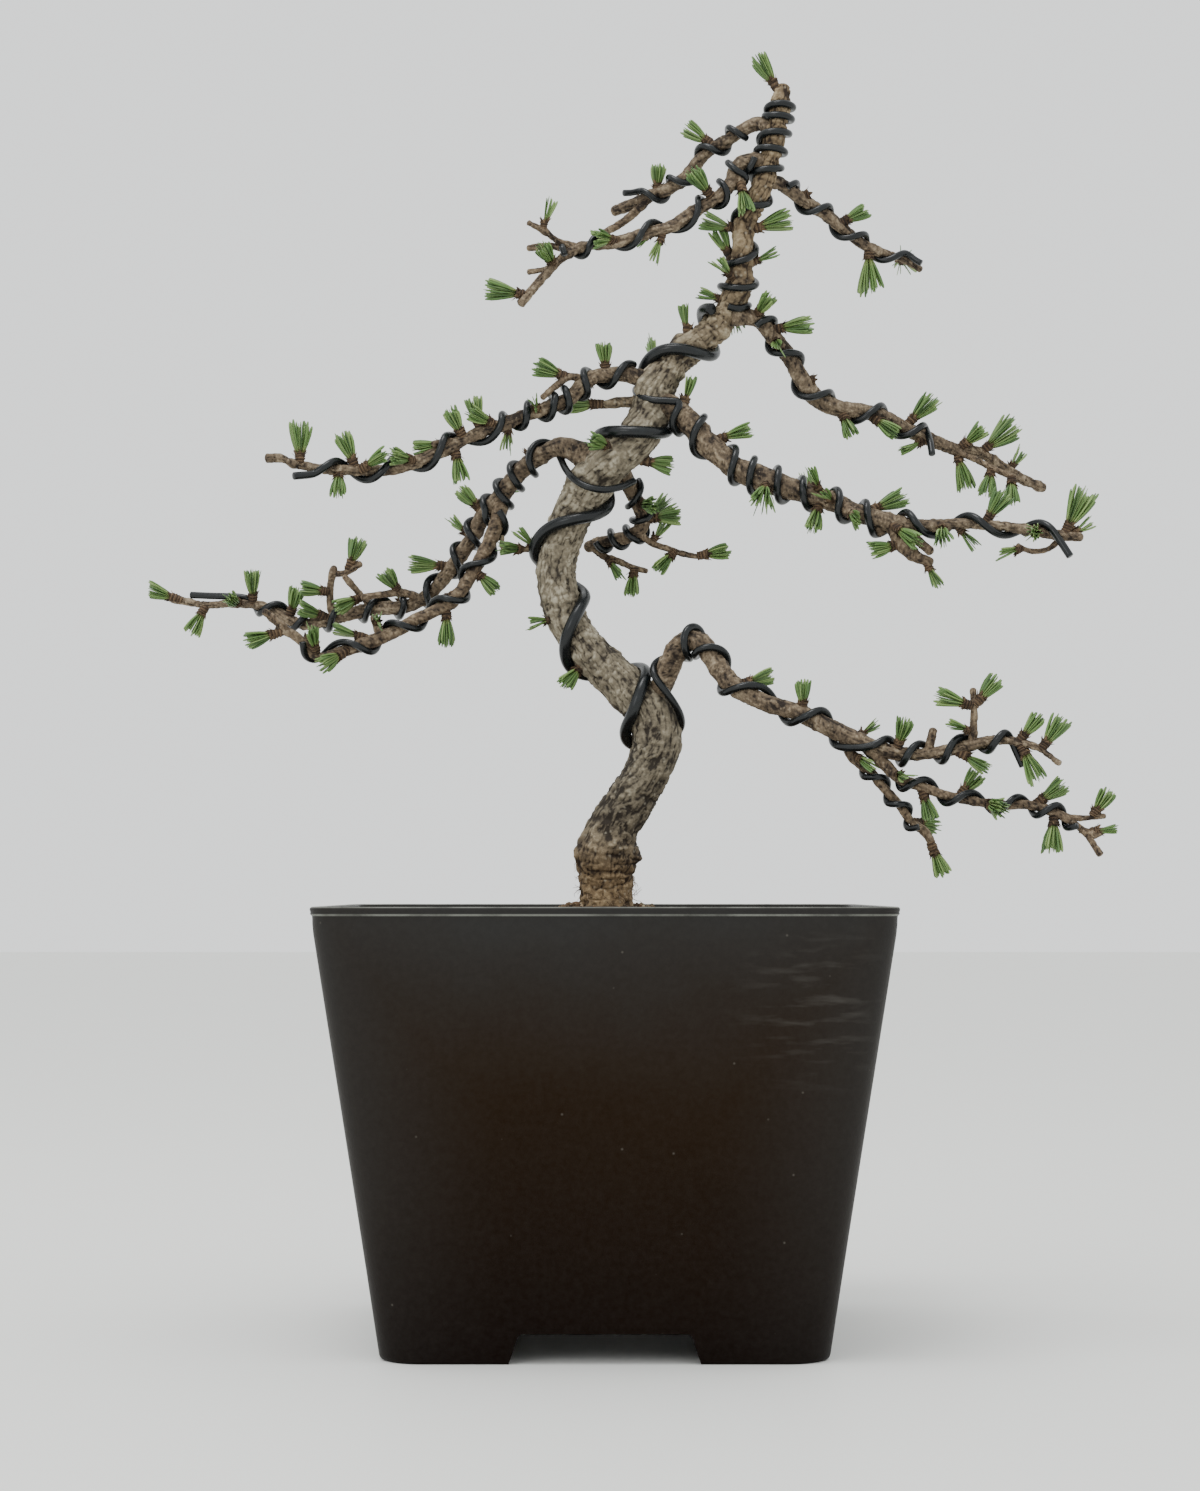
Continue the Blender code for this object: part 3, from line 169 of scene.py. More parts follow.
STEMS = {
    "trunk": StemDrawing(
        (0, 0),
        "",
        ((0, "642,402,6 622,402,5.2 604,405,4"),
        (-6, "556,552,4 536,550,3.2 519,549,3 503,548,2.8"),
        (-1, "513,549,2.8 503,547,2.6 502,537,2.4"),),
        """780,97,757,55,0 768,135,729,120,4 741,232,703,218,2 750,231,791,220,0 735,276,717,231,3
    748,268,772,254,-3:thin 728,284,702,266,3:thin 727,300,707,296,1:thin 738,310,738,324,9
    688,352,688,316,0 652,384,652,342,0:thin 616,444,585,430,-2 628,470,667,465,0
    556,620,532,625,6:thin 590,655,567,687,0 606,405,576,404,1 522,550,507,548,5
    538,552,517,566,-1:thin""",
    ),
    "branch_lower_right": StemDrawing(
        (4, 56),
        """656,706,11 664,680,11 671,662,11 680,647,11 691,640,10.5 703,645,10 715,662,9.5
    728,680,10 748,695,9 775,706,8.5 802,714,8.5 828,727,9 850,737,9 868,745,8 896,753,7.5
    922,754,6 945,751,6 971,745,6 994,740,5 1012,741,4 1036,747,3.5 1059,763,3.2""",
        ((22, """862,744,6 884,764,6 900,779,5.5 920,786,5 945,795,4.5 978,802,4.5 1004,805,4.5
    1030,805,4.8 1053,812,5 1072,822,3.5 1085,833,3.2 1100,854,2.8"""),
        (4, "1052,812,3.5 1076,818,3 1104,816,2.7"),
        (1, "1080,829,3.5 1094,834,4 1103,831,3.5"),
        (4, """842,736,5.5 853,758,5 868,769,5 882,786,4.5 897,802,4 910,820,4 928,836,4.5
    933,846,3.6"""),
        (1, "972,746,4.2 974,715,3.6 973,690,3"),
        (0, "928,754,5 933,731,4.4"),),
        """735,687,767,677,0 803,714,803,690,0 856,737,871,726,-4:thin 896,752,909,721,0
    974,706,937,696,1 974,706,998,679,0 973,731,948,727,0:thin 1018,743,1040,716,0
    1041,750,1063,719,0 953,752,989,766,4 1020,744,1038,781,1 852,752,873,766,5:thin
    896,773,922,767,3:thin 880,783,908,799,1 921,787,931,818,0 958,798,979,770,0 987,804,1003,842,0
    1033,806,1064,785,-1 1055,813,1068,804,-5:thin 1032,807,1038,834,-1:thin 1054,814,1052,852,2
    1092,817,1107,794,0 1088,832,1106,829,1:thin 908,820,906,852,1 930,840,941,869,0""",
    ),
    "branch_mid_right": StemDrawing(
        (4, 30),
        """654,400,12 674,409,12 690,424,12 713,449,12 735,467,11 757,477,13 776,484,12 800,492,10
    820,498,9.5 836,503,9 852,511,9 873,518,9 893,523,9 926,526,6.5 960,524,5 1000,526,4.6
    1035,531,5 1058,535,5 1080,537,4.5""",
        ((3, "892,524,8 903,545,7.5 917,557,6 930,562,4.5"),
        (4, "905,530,6 916,539,5 930,551,4.6"),
        (5, "838,503,6 846,510,5.6 854,514,5.4"),
        (0, "868,514,5 876,524,4.8 881,533,4.6"),
        (1, "1062,537,3.4 1048,549,3 1030,551,2.8 1018,546,2.8"),),
        """682,416,681,383,5 706,441,751,432,0 767,480,800,430,0 812,494,808,449,0
    826,500,793,511,5:thin 820,500,812,536,2 836,502,831,482,2:thin 846,508,869,500,6
    862,514,904,496,-4 886,521,931,502,2 900,546,875,549,2 924,561,934,578,0:thin 942,525,943,539,9
    955,524,972,538,-5:thin 983,525,1006,492,0 1038,531,1041,502,2 1064,535,1086,489,0
    1070,536,1087,523,-5:thin 1022,549,1006,554,2:thin""",
    ),
    "branch_upper_right": StemDrawing(
        (0, -34),
        """730,318,8.5 748,317,8.5 760,321,8 772,335,8 786,353,7.5 800,376,8 811,393,9 824,403,8.5
    842,409,8 866,412,7.5 888,419,7 908,430,7 932,440,6.5 953,449,6 978,452,5 1000,465,4.5
    1018,477,5 1043,488,4.2""",
        ((4, "950,449,3.6 972,458,3 994,469,2.8 1013,477,3"),),
        """754,319,765,298,3 768,330,812,319,1 774,337,779,348,7:thin 803,381,821,380,0:bud
    864,412,894,392,0 840,410,850,432,3 904,428,933,398,0 930,438,913,437,7 958,450,982,430,4
    980,453,1017,424,0 956,450,966,488,0 992,467,987,490,0 1009,472,1018,455,-3:thin
    1012,475,1012,501,3""",
    ),
    "branch_top_right": StemDrawing(
        (3, -20),
        """768,180,7.5 780,184,7 796,195,6.8 812,206,6.2 830,218,5.8 848,233,5.6 866,246,5.2
    886,254,4.2 905,260,3.6 920,269,3""",
        (),
        "799,197,813,193,0:bud 838,224,864,211,0 868,247,870,294,0 901,258,935,221,0",
    ),
    "branch_top_left": StemDrawing(
        (3, -20),
        """775,130,7 757,124,6.6 741,131,6.4 726,141,6.2 709,151,6 697,163,6 687,176,6 670,188,6
    647,197,5.8 630,205,5.6 615,211,5.2""",
        ((-4, "652,196,4.2 633,214,4 617,226,3.8 603,233,3.4"),),
        "716,147,683,127,0 657,193,658,174,0",
    ),
    "branch_high_left": StemDrawing(
        (4, 24),
        """770,162,7.5 757,160,7.2 744,162,7 736,169,7 731,182,6.8 722,194,6.5 705,205,6.2
    688,216,6 670,227,6 650,232,5.8 630,238,5.5 610,243,5.4 590,245,5 570,252,4.6 553,266,4.2
    538,283,4 521,303,3.8""",
        ((2, "736,169,5 741,182,4.4"),
        (3, "580,248,3.6 560,242,3.2 544,231,3 529,223,2.8"),
        (-2, "572,250,3.6 550,246,3.4 529,248,3.2"),
        (1, "556,264,3 545,269,2.8 529,272,2.8"),),
        """740,178,753,204,3 714,201,688,172,3 658,230,634,205,2 664,230,655,261,0:thin
    619,240,597,237,8 554,265,544,250,6 543,230,549,201,0:thin 528,295,486,289,0""",
    ),
    "branch_upper_left": StemDrawing(
        (2, 32),
        """656,384,8.5 640,378,8.5 625,374,7.5 608,375,7.5 594,377,7 582,385,7 572,396,7
    560,403,6.8 544,409,6.6 525,415,6.2 505,424,6.2 485,431,6 468,438,6 450,447,7 430,456,6
    410,464,6 390,470,6 370,471,5.2 350,470,5.2 330,470,5 312,467,4.5 295,464,4 280,458,3.8
    268,458,4.2""",
        ((7, "586,380,4 570,377,3.6 556,386,3.4 543,397,3.2"),
        (4, "462,441,4 448,443,3.8 434,444,3.6"),),
        """606,374,604,350,0 594,377,579,360,-3:thin 562,382,528,370,2 538,410,524,388,3:thin
    512,420,497,412,-5:thin 480,432,473,399,1 498,428,482,423,7 464,439,447,412,1 452,443,416,437,3
    416,461,385,446,2 455,446,460,480,0 358,470,386,464,6 357,470,341,434,0 300,465,300,422,0
    339,470,338,488,2""",
    ),
    "branch_lower_left": StemDrawing(
        (3, -50),
        """606,468,14 590,459,13.5 575,451,12 560,447,9.5 545,453,9 530,463,9 515,478,9 503,494,9
    490,508,8 479,524,7.5 471,540,7.2 462,553,7 452,567,7 440,583,6.6 425,598,6.4 408,606,6.4
    385,608,6.8 365,610,6.4 345,616,6 325,621,5.6 303,624,5.4 288,619,5 276,611,4.6 262,606,4.4
    245,604,4.2 225,604,4 205,605,3.6 188,602,3.4 173,600,3.6""",
        ((14, """503,494,8 499,515,7.6 491,538,7.4 482,557,7 472,573,6.6 463,588,6.4 452,602,6.4
    435,611,6.2 415,620,6.2 398,630,6.6 380,638,7 362,645,6.6 340,652,5.8 319,657,5 306,645,4.8
    292,634,4.6 278,629,4"""),
        (3, "292,634,4 278,623,3.6 265,612,3.8"),
        (5, "334,619,4.4 330,600,3.8 331,582,3.6 334,568,3.4"),
        (2, "333,574,3.2 345,573,3.2 360,564,3"),
        (5, "374,609,3.8 358,592,3.4 345,577,3.2"),
        (3, "422,600,4.4 405,593,3.8 385,594,3.4 363,597,3.2"),
        (-3, "382,638,5 377,626,4.4 374,618,4"),),
        """184,602,148,589,0 207,605,190,633,0 239,604,238,578,3 253,605,257,571,0
    289,620,297,591,1 332,618,302,608,3 330,592,303,588,2 362,597,337,607,5 348,572,360,539,0
    400,594,389,577,1 406,606,383,602,6 377,622,399,621,3:thin 374,641,338,631,3 352,649,319,645,6
    320,656,288,660,1 284,631,246,641,1 306,645,309,631,-2:bud 472,538,453,522,-3:thin
    484,514,461,489,1 504,490,493,474,0:thin 530,462,528,444,0:bud 452,566,410,563,0
    446,605,447,646,0 474,570,492,587,0 462,588,433,597,3:thin""",
    ),
    "branch_back": StemDrawing(
        (-1, -24),
        """614,462,9 624,476,8.4 631,490,8 638,503,7.6 643,516,7.6 641,528,7.2 630,536,6.6
    612,540,6 598,543,5.6 588,547,5""",
        ((2, "638,532,4 650,542,3.4 668,549,3.2 688,555,3 702,557,2.8"),
        (3, "592,546,4.4 603,556,3.4 618,561,3.2 634,568,3 646,571,2.8"),),
        """696,556,724,551,0 675,551,660,567,2 652,543,662,526,-2:thin 642,518,679,521,2
    642,512,657,508,0:bud 638,505,602,508,-2 634,535,594,515,2 606,557,628,550,3:thin
    634,568,632,590,0""",
    ),
}

WIRES = {
    "wire_trunk": WireDrawing(
        "trunk", 0, 0.002,
        """657,738,-0.3 640,703,0 626,688,0.25 588,650,0.75 572,629,1 560,602,1.25 560,550,1.75
    572,518,2 586,494,2.25 612,460,2.72 637,438,3 646,420,3.25 664,378,3.72 682,357,4 704,337,4.3
    722,318,4.9""",
        hidden_course="658,750,-0.54",
    ),
    "wire_crown": WireDrawing(
        "trunk", 0, 0.0012,
        """730,308,0 738,290,0.9 744,262,2 744,232,2.55 752,207,3 762,186,3.5 769,158,4.5
    772,147,5.5 777,126,6.5 779,114,7.5 781,103,8.5""",
    ),
    "wire_lower_right": WireDrawing(
        "branch_lower_right", 0, 0.00125,
        """664,683,0 688,642,-1 708,651,-2 741,691,-3 811,718,-4 822,724,-4.35 838,733,-4.72
    878,748,-5 911,754,-6 951,750,-7 999,740,-8 1008,741,-8.3""",
        lead="676,716,15 678,706,13",
        tail="1014,750,47 1023,766,49",
        hidden_lead="662,744,-8 680,738,-4 686,727,2 683,716,9",
    ),
    "wire_lower_right_mid": WireDrawing(
        "branch_lower_right", 1, 0.0011,
        "899,778,-0.55 914,784,-1 960,799,-2 1008,805,-3 1048,811,-4 1078,827,-5",
    ),
    "wire_lower_right_low": WireDrawing(
        "branch_lower_right", 4, 0.00105,
        "864,766,-0.55 875,778,-1 899,805,-2 918,828,-3",
    ),
    "wire_mid_right": WireDrawing(
        "branch_mid_right", 0, 0.00125,
        """676,411,-0.15 697,432,1 735,467,2 752,475,3 779,485,4 804,493,5 841,505,6 868,516,7
    917,525,8 984,525,9 1056,534,10""",
        lead="640,396,10 648,406,11",
        tail="1063,546,33 1070,556,34",
        hidden_lead="655,384,-8 638,384,-5 631,390,1 638,399,8",
    ),
    "wire_upper_right": WireDrawing(
        "branch_upper_right", 0, 0.0012,
        "756,319,0.1 785,352,-1 814,396,-2 868,413,-3 912,431,-4 926,437,-4.4",
        tail="931,444,-15 932,454,-15",
    ),
    "wire_top_right": WireDrawing(
        "branch_top_right", 0, 0.0011,
        "784,187,0 816,209,-1 852,236,-2 894,256,-3 906,261,-3.25",
        tail="914,263,-15 921,263,-15",
    ),
    "wire_top_left": WireDrawing(
        "branch_top_left", 0, 0.0011,
        "744,129,-0.2 714,149,1 680,182,2 652,195,3 643,199,3.2",
        tail="634,195,-12 624,193,-11",
    ),
    "wire_high_left": WireDrawing(
        "branch_high_left", 0, 0.0011,
        "752,161,0 734,174,-1 724,191,-2 697,210,-3 640,235,-4 588,245,-5 563,257,-6",
    ),
    "wire_upper_left": WireDrawing(
        "branch_upper_left", 0, 0.00125,
        """632,376,0.3 616,375,0 583,384,-1 566,400,-2 552,406,-3 525,415,-4 500,425,-5 438,452,-6
    383,471,-7 322,469,-8 312,467,-8.2""",
        tail="303,475,35 294,476,35",
    ),
    "wire_lower_left": WireDrawing(
        "branch_lower_left", 0, 0.0012,
        """557,448,-0.5 532,462,-1 516,477,-2 503,494,-3 489,509,-4 474,535,-5 458,558,-6
    429,594,-7 408,606,-8 372,609,-9 335,618,-10 303,624,-11 270,609,-12 245,604,-12.7
    232,604,-12.75 190,602,-12.75""",
        lead="634,481,5 622,490,11 604,494,13 584,490,12 569,478,9 565,466,4",
    ),
    "wire_lower_left_under": WireDrawing(
        "branch_lower_left", 1, 0.00115,
        "499,514,0 491,538,-0.5 476,566,0 452,602,1 403,627,2 357,647,3 322,656,3.5 303,642,4",
    ),
    "wire_back": WireDrawing(
        "branch_back", 0, 0.0011,
        "629,487,-0.3 638,503,0.3 643,516,1 633,534,2 616,539,3 600,543,4",
    ),
}


def paint(red: float, green: float, blue: float) -> Colour:
    """The linear colour of a display colour.

    Args:
        red: Red from 0 to 255.
        green: Green from 0 to 255.
        blue: Blue from 0 to 255.

    Returns:
        The colour that a shader socket takes, without alpha.
    """

    def linear(value: float) -> float:
        """One channel, from display to linear."""
        value /= 255.0
        return value / 12.92 if value <= 0.04045 else ((value + 0.055) / 1.055) ** 2.4

    return linear(red), linear(green), linear(blue)


def unit(vector: Array) -> Array:
    """VECTOR at length one."""
    return vector / max(np.linalg.norm(vector), TINY)


def tangents(points: Array) -> Array:
    """The direction of a path at each of its points, at length one."""
    steps = np.diff(points, axis=0)
    steps /= np.maximum(np.linalg.norm(steps, axis=1, keepdims=True), TINY)
    found = np.vstack((steps[:1], steps[:-1] + steps[1:], steps[-1:]))
    return found / np.maximum(np.linalg.norm(found, axis=1, keepdims=True), TINY)


def along_path(points: Array) -> Array:
    """The length along a path at each of its points."""
    return np.concatenate(((0.0,), np.cumsum(np.linalg.norm(np.diff(points, axis=0), axis=1))))


def round_angles(count: int) -> Array:
    """COUNT even angles round a circle, in radians."""
    return np.arange(count) * 2 * math.pi / count


def hoops(centres: Array, fronts: Array, sides: Array, radii: Array,
          around: Array) -> Array:
    """Rings of points round a path.

    Args:
        centres: The path's points.
        fronts: One direction square to the path at each, or one for all.
        sides: The other.
        radii: The radius at each, or at each place of each ring.
        around: The angles of the places in a ring.

    Returns:
        Points as (ring, place in the ring, 3).
    """
    fronts, sides = np.atleast_2d(fronts)[:, None], np.atleast_2d(sides)[:, None]
    around = around[None, :, None]
    aim = np.cos(around) * fronts + np.sin(around) * sides
    return centres[:, None] + radii.reshape(len(centres), -1)[..., None] * aim


def across_axes(tangent: Array) -> tuple[Array, Array]:
    """Two directions square to a tangent: one toward the front, one to the side."""
    front = np.array((0.0, -1.0, 0.0))
    if abs(tangent[1]) > 0.93:
        front = np.array((0.0, 0.0, 1.0))
    front = unit(front - tangent * front.dot(tangent))
    return front, np.cross(tangent, front)


def turned(vector: Array, axis: Array, angle: float) -> Array:
    """VECTOR turned about AXIS by ANGLE radians."""
    return (
        vector * math.cos(angle)
        + np.cross(axis, vector) * math.sin(angle)
        + axis * axis.dot(vector) * (1 - math.cos(angle))
    )


def smoothstep(low: float, high: float, values: Array) -> Array:
    """Zero under LOW, one over HIGH, eased between."""
    share = np.clip((values - low) / (high - low), 0.0, 1.0)
    return share * share * (3.0 - 2.0 * share)


def value_noise(points: Array, seed: int) -> Array:
    """Smooth noise at points, one lattice step to a unit.

    Args:
        points: An array whose last axis holds x, y and z.
        seed: Which noise field is read.

    Returns:
        Values from -1 to 1, one for each point.
    """
    base = np.floor(points).astype(np.int64)
    part = points - base
    part = part * part * (3.0 - 2.0 * part)
    total = np.zeros(points.shape[:-1])
    for corner in itertools.product((0, 1), repeat=3):
        cell = base + np.array(corner)
        mixed = cell[..., 0] * 73856093 ^ cell[..., 1] * 19349663 ^ cell[..., 2] * 83492791
        mixed = (mixed ^ (seed * 2654435761)) & 0xFFFFFFFF
        mixed = ((mixed ^ (mixed >> 13)) * 1274126177) & 0xFFFFFFFF
        mixed = ((mixed ^ (mixed >> 16)) * 2246822519) & 0xFFFFFFFF
        weight = np.ones(points.shape[:-1])
        for axis, high in enumerate(corner):
            weight = weight * (part[..., axis] if high else 1.0 - part[..., axis])
        total += weight * (mixed / 2147483648.0 - 1.0)
    return total


def layered_noise(points: Array, seed: int, layers: int = 3) -> Array:
    """Value noise with finer layers added, each half as strong, from about -1 to 1."""
    total = np.zeros(points.shape[:-1])
    for layer in range(layers):
        total += value_noise(points * 2.03**layer + 7.7 * layer, seed + layer) * 0.5**layer
    return total / 1.5


@dataclass(frozen=True)
class Sight:
    """The station point that the drawing of the tree's front is made from."""

    unit: float = 0.001 / 3
    distance: float = 1.0
    x: float = -0.0015
    z: float = 0.1475
    centre: tuple[float, float] = (600.0, 888.8)

    def place(self, across: float, down: float, toward: float) -> Array:
        """The point that a drawn point stands for.

        Args:
            across: Drawing units from the left.
            down: Drawing units from the top.
            toward: Metres nearer the front than the trunk's plane.

        Returns:
            The point in metres.
        """
        scale = self.unit * (1 - toward / self.distance)
        x = self.x + (across - self.centre[0]) * scale
        z = self.z + (self.centre[1] - down) * scale
        return np.array((x, -toward, z))


SIGHT = Sight()


class Limb:
    """A tapering round limb along drawn points, with its centre line in space."""

    def __init__(self, drawn: Sequence, toward: Sequence, half_widths: Sequence) -> None:
        """Lays the limb out.

        Args:
            drawn: Its drawn points.
            toward: Its depth at each, in metres.
            half_widths: Its half-width at each, in drawing units.
        """
        self.drawn = np.array(drawn, float)
        self.toward = np.array(toward, float)
        self.centres = np.array([SIGHT.place(x, y, t) for (x, y), t in zip(drawn, toward)])
        self.radii = np.array(half_widths) * SIGHT.unit * (1 - self.toward / SIGHT.distance)
        self.along = along_path(self.centres)

    def nearest(self, across: float, down: float) -> tuple[float, float]:
        """The place on the limb that is drawn nearest to a drawn point.

        Args:
            across: Drawing units from the left.
            down: Drawing units from the top.

        Returns:
            The length along the limb there, and how far off it is drawn.
        """
        point = np.array((across, down), float)
        starts, ends = self.drawn[:-1], self.drawn[1:]
        legs = ends - starts
        share = np.einsum("ij,ij->i", point - starts, legs) / np.einsum("ij,ij->i", legs, legs)
        share = np.clip(share, 0, 1)
        off = np.linalg.norm(starts + legs * share[:, None] - point, axis=1)
        leg = int(off.argmin())
        gap = self.along[leg + 1] - self.along[leg]
        return self.along[leg] + share[leg] * gap, off[leg]

    def at(self, length: float) -> tuple[Array, float, Array]:
        """The limb at a length along it.

        Args:
            length: The length, in metres.

        Returns:
            Its centre, its radius and its direction there.
        """
        length = min(max(length, 0.0), self.along[-1])
        centre = np.array([np.interp(length, self.along, c) for c in self.centres.T])
        leg = min(max(np.searchsorted(self.along, length) - 1, 0), len(self.along) - 2)
        return (
            centre,
            float(np.interp(length, self.along, self.radii)),
            unit(self.centres[leg + 1] - self.centres[leg]),
        )

    def depth_at(self, length: float) -> float:
        """Metres toward the front at a length along the limb."""
        return float(np.interp(length, self.along, self.toward))

    def capsules(self) -> list[Capsule]:
        """The limb as tapered capsules, one for each leg."""
        return list(zip(self.centres[:-1], self.centres[1:], self.radii[:-1], self.radii[1:]))


def drawn_limb(text: str, start: float, end: float) -> Limb:
    """A limb from rows of across, down and half-width, its depth eased from START to END."""
    table = np.array(rows_of(text))
    along = along_path(table[:, :2])
    return Limb(table[:, :2], start + (end - start) * along / along[-1], table[:, 2])


def limbs_of(stem: str) -> list[Limb]:
    """The limbs of a stem.

    Args:
        stem: The stem's name.

    Returns:
        Its main limb and its side limbs, each starting inside the one that it grows from.
    """
    drawing = STEMS[stem]
    if drawing.main:
        limbs = [drawn_limb(drawing.main, *(MM * depth for depth in drawing.depth))]
    else:
        table = np.array(TRUNK)
        limbs = [Limb(table[:, :2], MM * table[:, 2], table[:, 3])]
    for gain, text in drawing.side:
        across, down, _ = rows_of(text)[0]
        parent = min(limbs, key=lambda limb: limb.nearest(across, down)[1])
        start = parent.depth_at(parent.nearest(across, down)[0])
        limbs.append(drawn_limb(text, start, start + MM * gain))
    return limbs


class Clearance:
    """The space already taken, as tapered capsules that each have an owner."""

    def __init__(self) -> None:
        """Starts with nothing taken."""
        self.owners: list[str] = []
        self.rows: list[Array] = []

    def add(self, owner: str, capsules: Iterable[Capsule]) -> None:
        """Takes the space of some capsules for an owner."""
        for a, b, ra, rb in capsules:
            self.owners.append(owner)
            self.rows.append(np.concatenate((a, b, (ra, rb))))

    def select(self, without: Sequence[str]) -> Array:
        """The capsules of every owner but those in WITHOUT."""
        return np.array(self.rows)[~np.isin(np.array(self.owners), list(without))]


def distances(points: Array, table: Array) -> tuple[Array, Array]:
    """How far points are from capsules.

    Args:
        points: The points.
        table: The capsules, one to a row: start, end, and the radius at each.

    Returns:
        Each point's distance from each capsule's surface, and the way out of it.
    """
    starts, ends = table[:, :3], table[:, 3:6]
    legs = ends - starts
    offset = points[:, None, :] - starts[None]
    share = (offset * legs).sum(-1) / np.maximum((legs * legs).sum(-1), TINY)
    share = np.clip(share, 0, 1)
    away = offset - share[..., None] * legs
    far = np.linalg.norm(away, axis=-1)
    radius = table[:, 6] + (table[:, 7] - table[:, 6]) * share
    return far - radius, away / np.maximum(far, TINY)[..., None]


@dataclass
class Shoot:
    """A short shoot: a spur from a limb's centre line, and the tips that its needles reach."""

    root: Array
    heading: Array
    end: Array
    radius: float
    wood: float
    kind: ShootKind
    tips: list[Array | None] = field(default_factory=list)


@dataclass(frozen=True)
class WireRule:
    """How closely a wire is wound and how it is pushed clear of the wood.

    It has steps to a turn and rounds of pushing, each at some shares of every leg, and keeps a
    gap in metres. The frame's wires don't have the run behind the trunk.
    """

    steps: int
    rounds: int
    shares: tuple[float, ...]
    gap: float
    hidden_ends: bool = False
    longest_leg: float = 0.009
    most_push: float = 0.002
    push_share: float = 0.75
    near: float = 0.02

    def coil(self, limb: Limb, course: Sequence, radius: float) -> Array:
        """Points along a wire that winds round a limb.

        Args:
            limb: The limb it winds round.
            course: Rows of (across, down, turns), with whole turns at the front.
            radius: The wire's radius.

        Returns:
            The points of its centre line.
        """
        marks = np.array([limb.nearest(x, y)[0] for x, y, _ in course])
        marks = np.maximum.accumulate(marks + np.arange(len(marks)) * 1e-6)
        turns = np.array([t for _, _, t in course])
        rows = []
        for a, b, ta, tb in zip(marks[:-1], marks[1:], turns[:-1], turns[1:]):
            count = max(1, round(abs(tb - ta) * self.steps), math.ceil((b - a) / self.longest_leg))
            for i in range(count):
                rows.append((a + (b - a) * i / count, ta + (tb - ta) * i / count))
        rows.append((marks[-1], turns[-1]))
        spread = 1 / math.cos(math.pi / self.steps)
        found = []
        for length, turn in rows:
            centre, wood, _ = limb.at(length)
            before, after = limb.at(length - 0.002)[0], limb.at(length + 0.002)[0]
            front, side = across_axes(unit(after - before))
            reach = (wood + self.gap + radius) * spread
            angle = 2 * math.pi * turn
            found.append(centre + reach * (math.cos(angle) * front + math.sin(angle) * side))
        return np.array(found)

    def relaxed(self, points: Array, radius: float, table: Array) -> Array:
        """The wire's points moved out of the space that is taken.

        Args:
            points: The wire's points.
            radius: Its radius.
            table: The capsules of the space that is taken.

        Returns:
            The moved points.
        """
        need = radius + self.gap
        low, high = points.min(0) - self.near, points.max(0) + self.near
        near = (np.minimum(table[:, :3], table[:, 3:6]) < high).all(1)
        near &= (np.maximum(table[:, :3], table[:, 3:6]) > low).all(1)
        table = table[near]
        for _ in range(self.rounds):
            for share in self.shares:
                samples = points
                if share:
                    samples = points[:-1] * (1 - share) + points[1:] * share
                gap, away = distances(samples, table)
                worst = gap.argmin(1)
                rows = np.arange(len(samples))
                short = np.clip(need - gap[rows, worst], 0, self.most_push)[:, None]
                push = away[rows, worst] * short
                if share == 0:
                    points = points + push
                else:
                    points[:-1] += push * self.push_share
                    points[1:] += push * self.push_share
        return points

    def lay(self, limbs: dict[str, list[Limb]], taken: Clearance) -> dict[str, Array]:
        """Lays every wire, clear of the wood and of the wires before it.

        Args:
            limbs: The limbs of each stem.
            taken: The space that is taken, to which the wires are added.

        Returns:
            The centre line of each wire.
        """
        routes = {}
        for name, wire in WIRES.items():
            lead, course, tail = wire.path(self.hidden_ends)
            wound = self.coil(limbs[wire.stem][wire.limb], course, wire.radius)
            ends = [[SIGHT.place(x, y, MM * t) for x, y, t in rows] for rows in (lead, tail)]
            points = np.array(ends[0] + list(wound) + ends[1])
            points = self.relaxed(points, wire.radius, taken.select(()))
            routes[name] = points
            size = (wire.radius, wire.radius)
            taken.add(name, [(a, b, *size) for a, b in zip(points[:-1], points[1:])])
        return routes


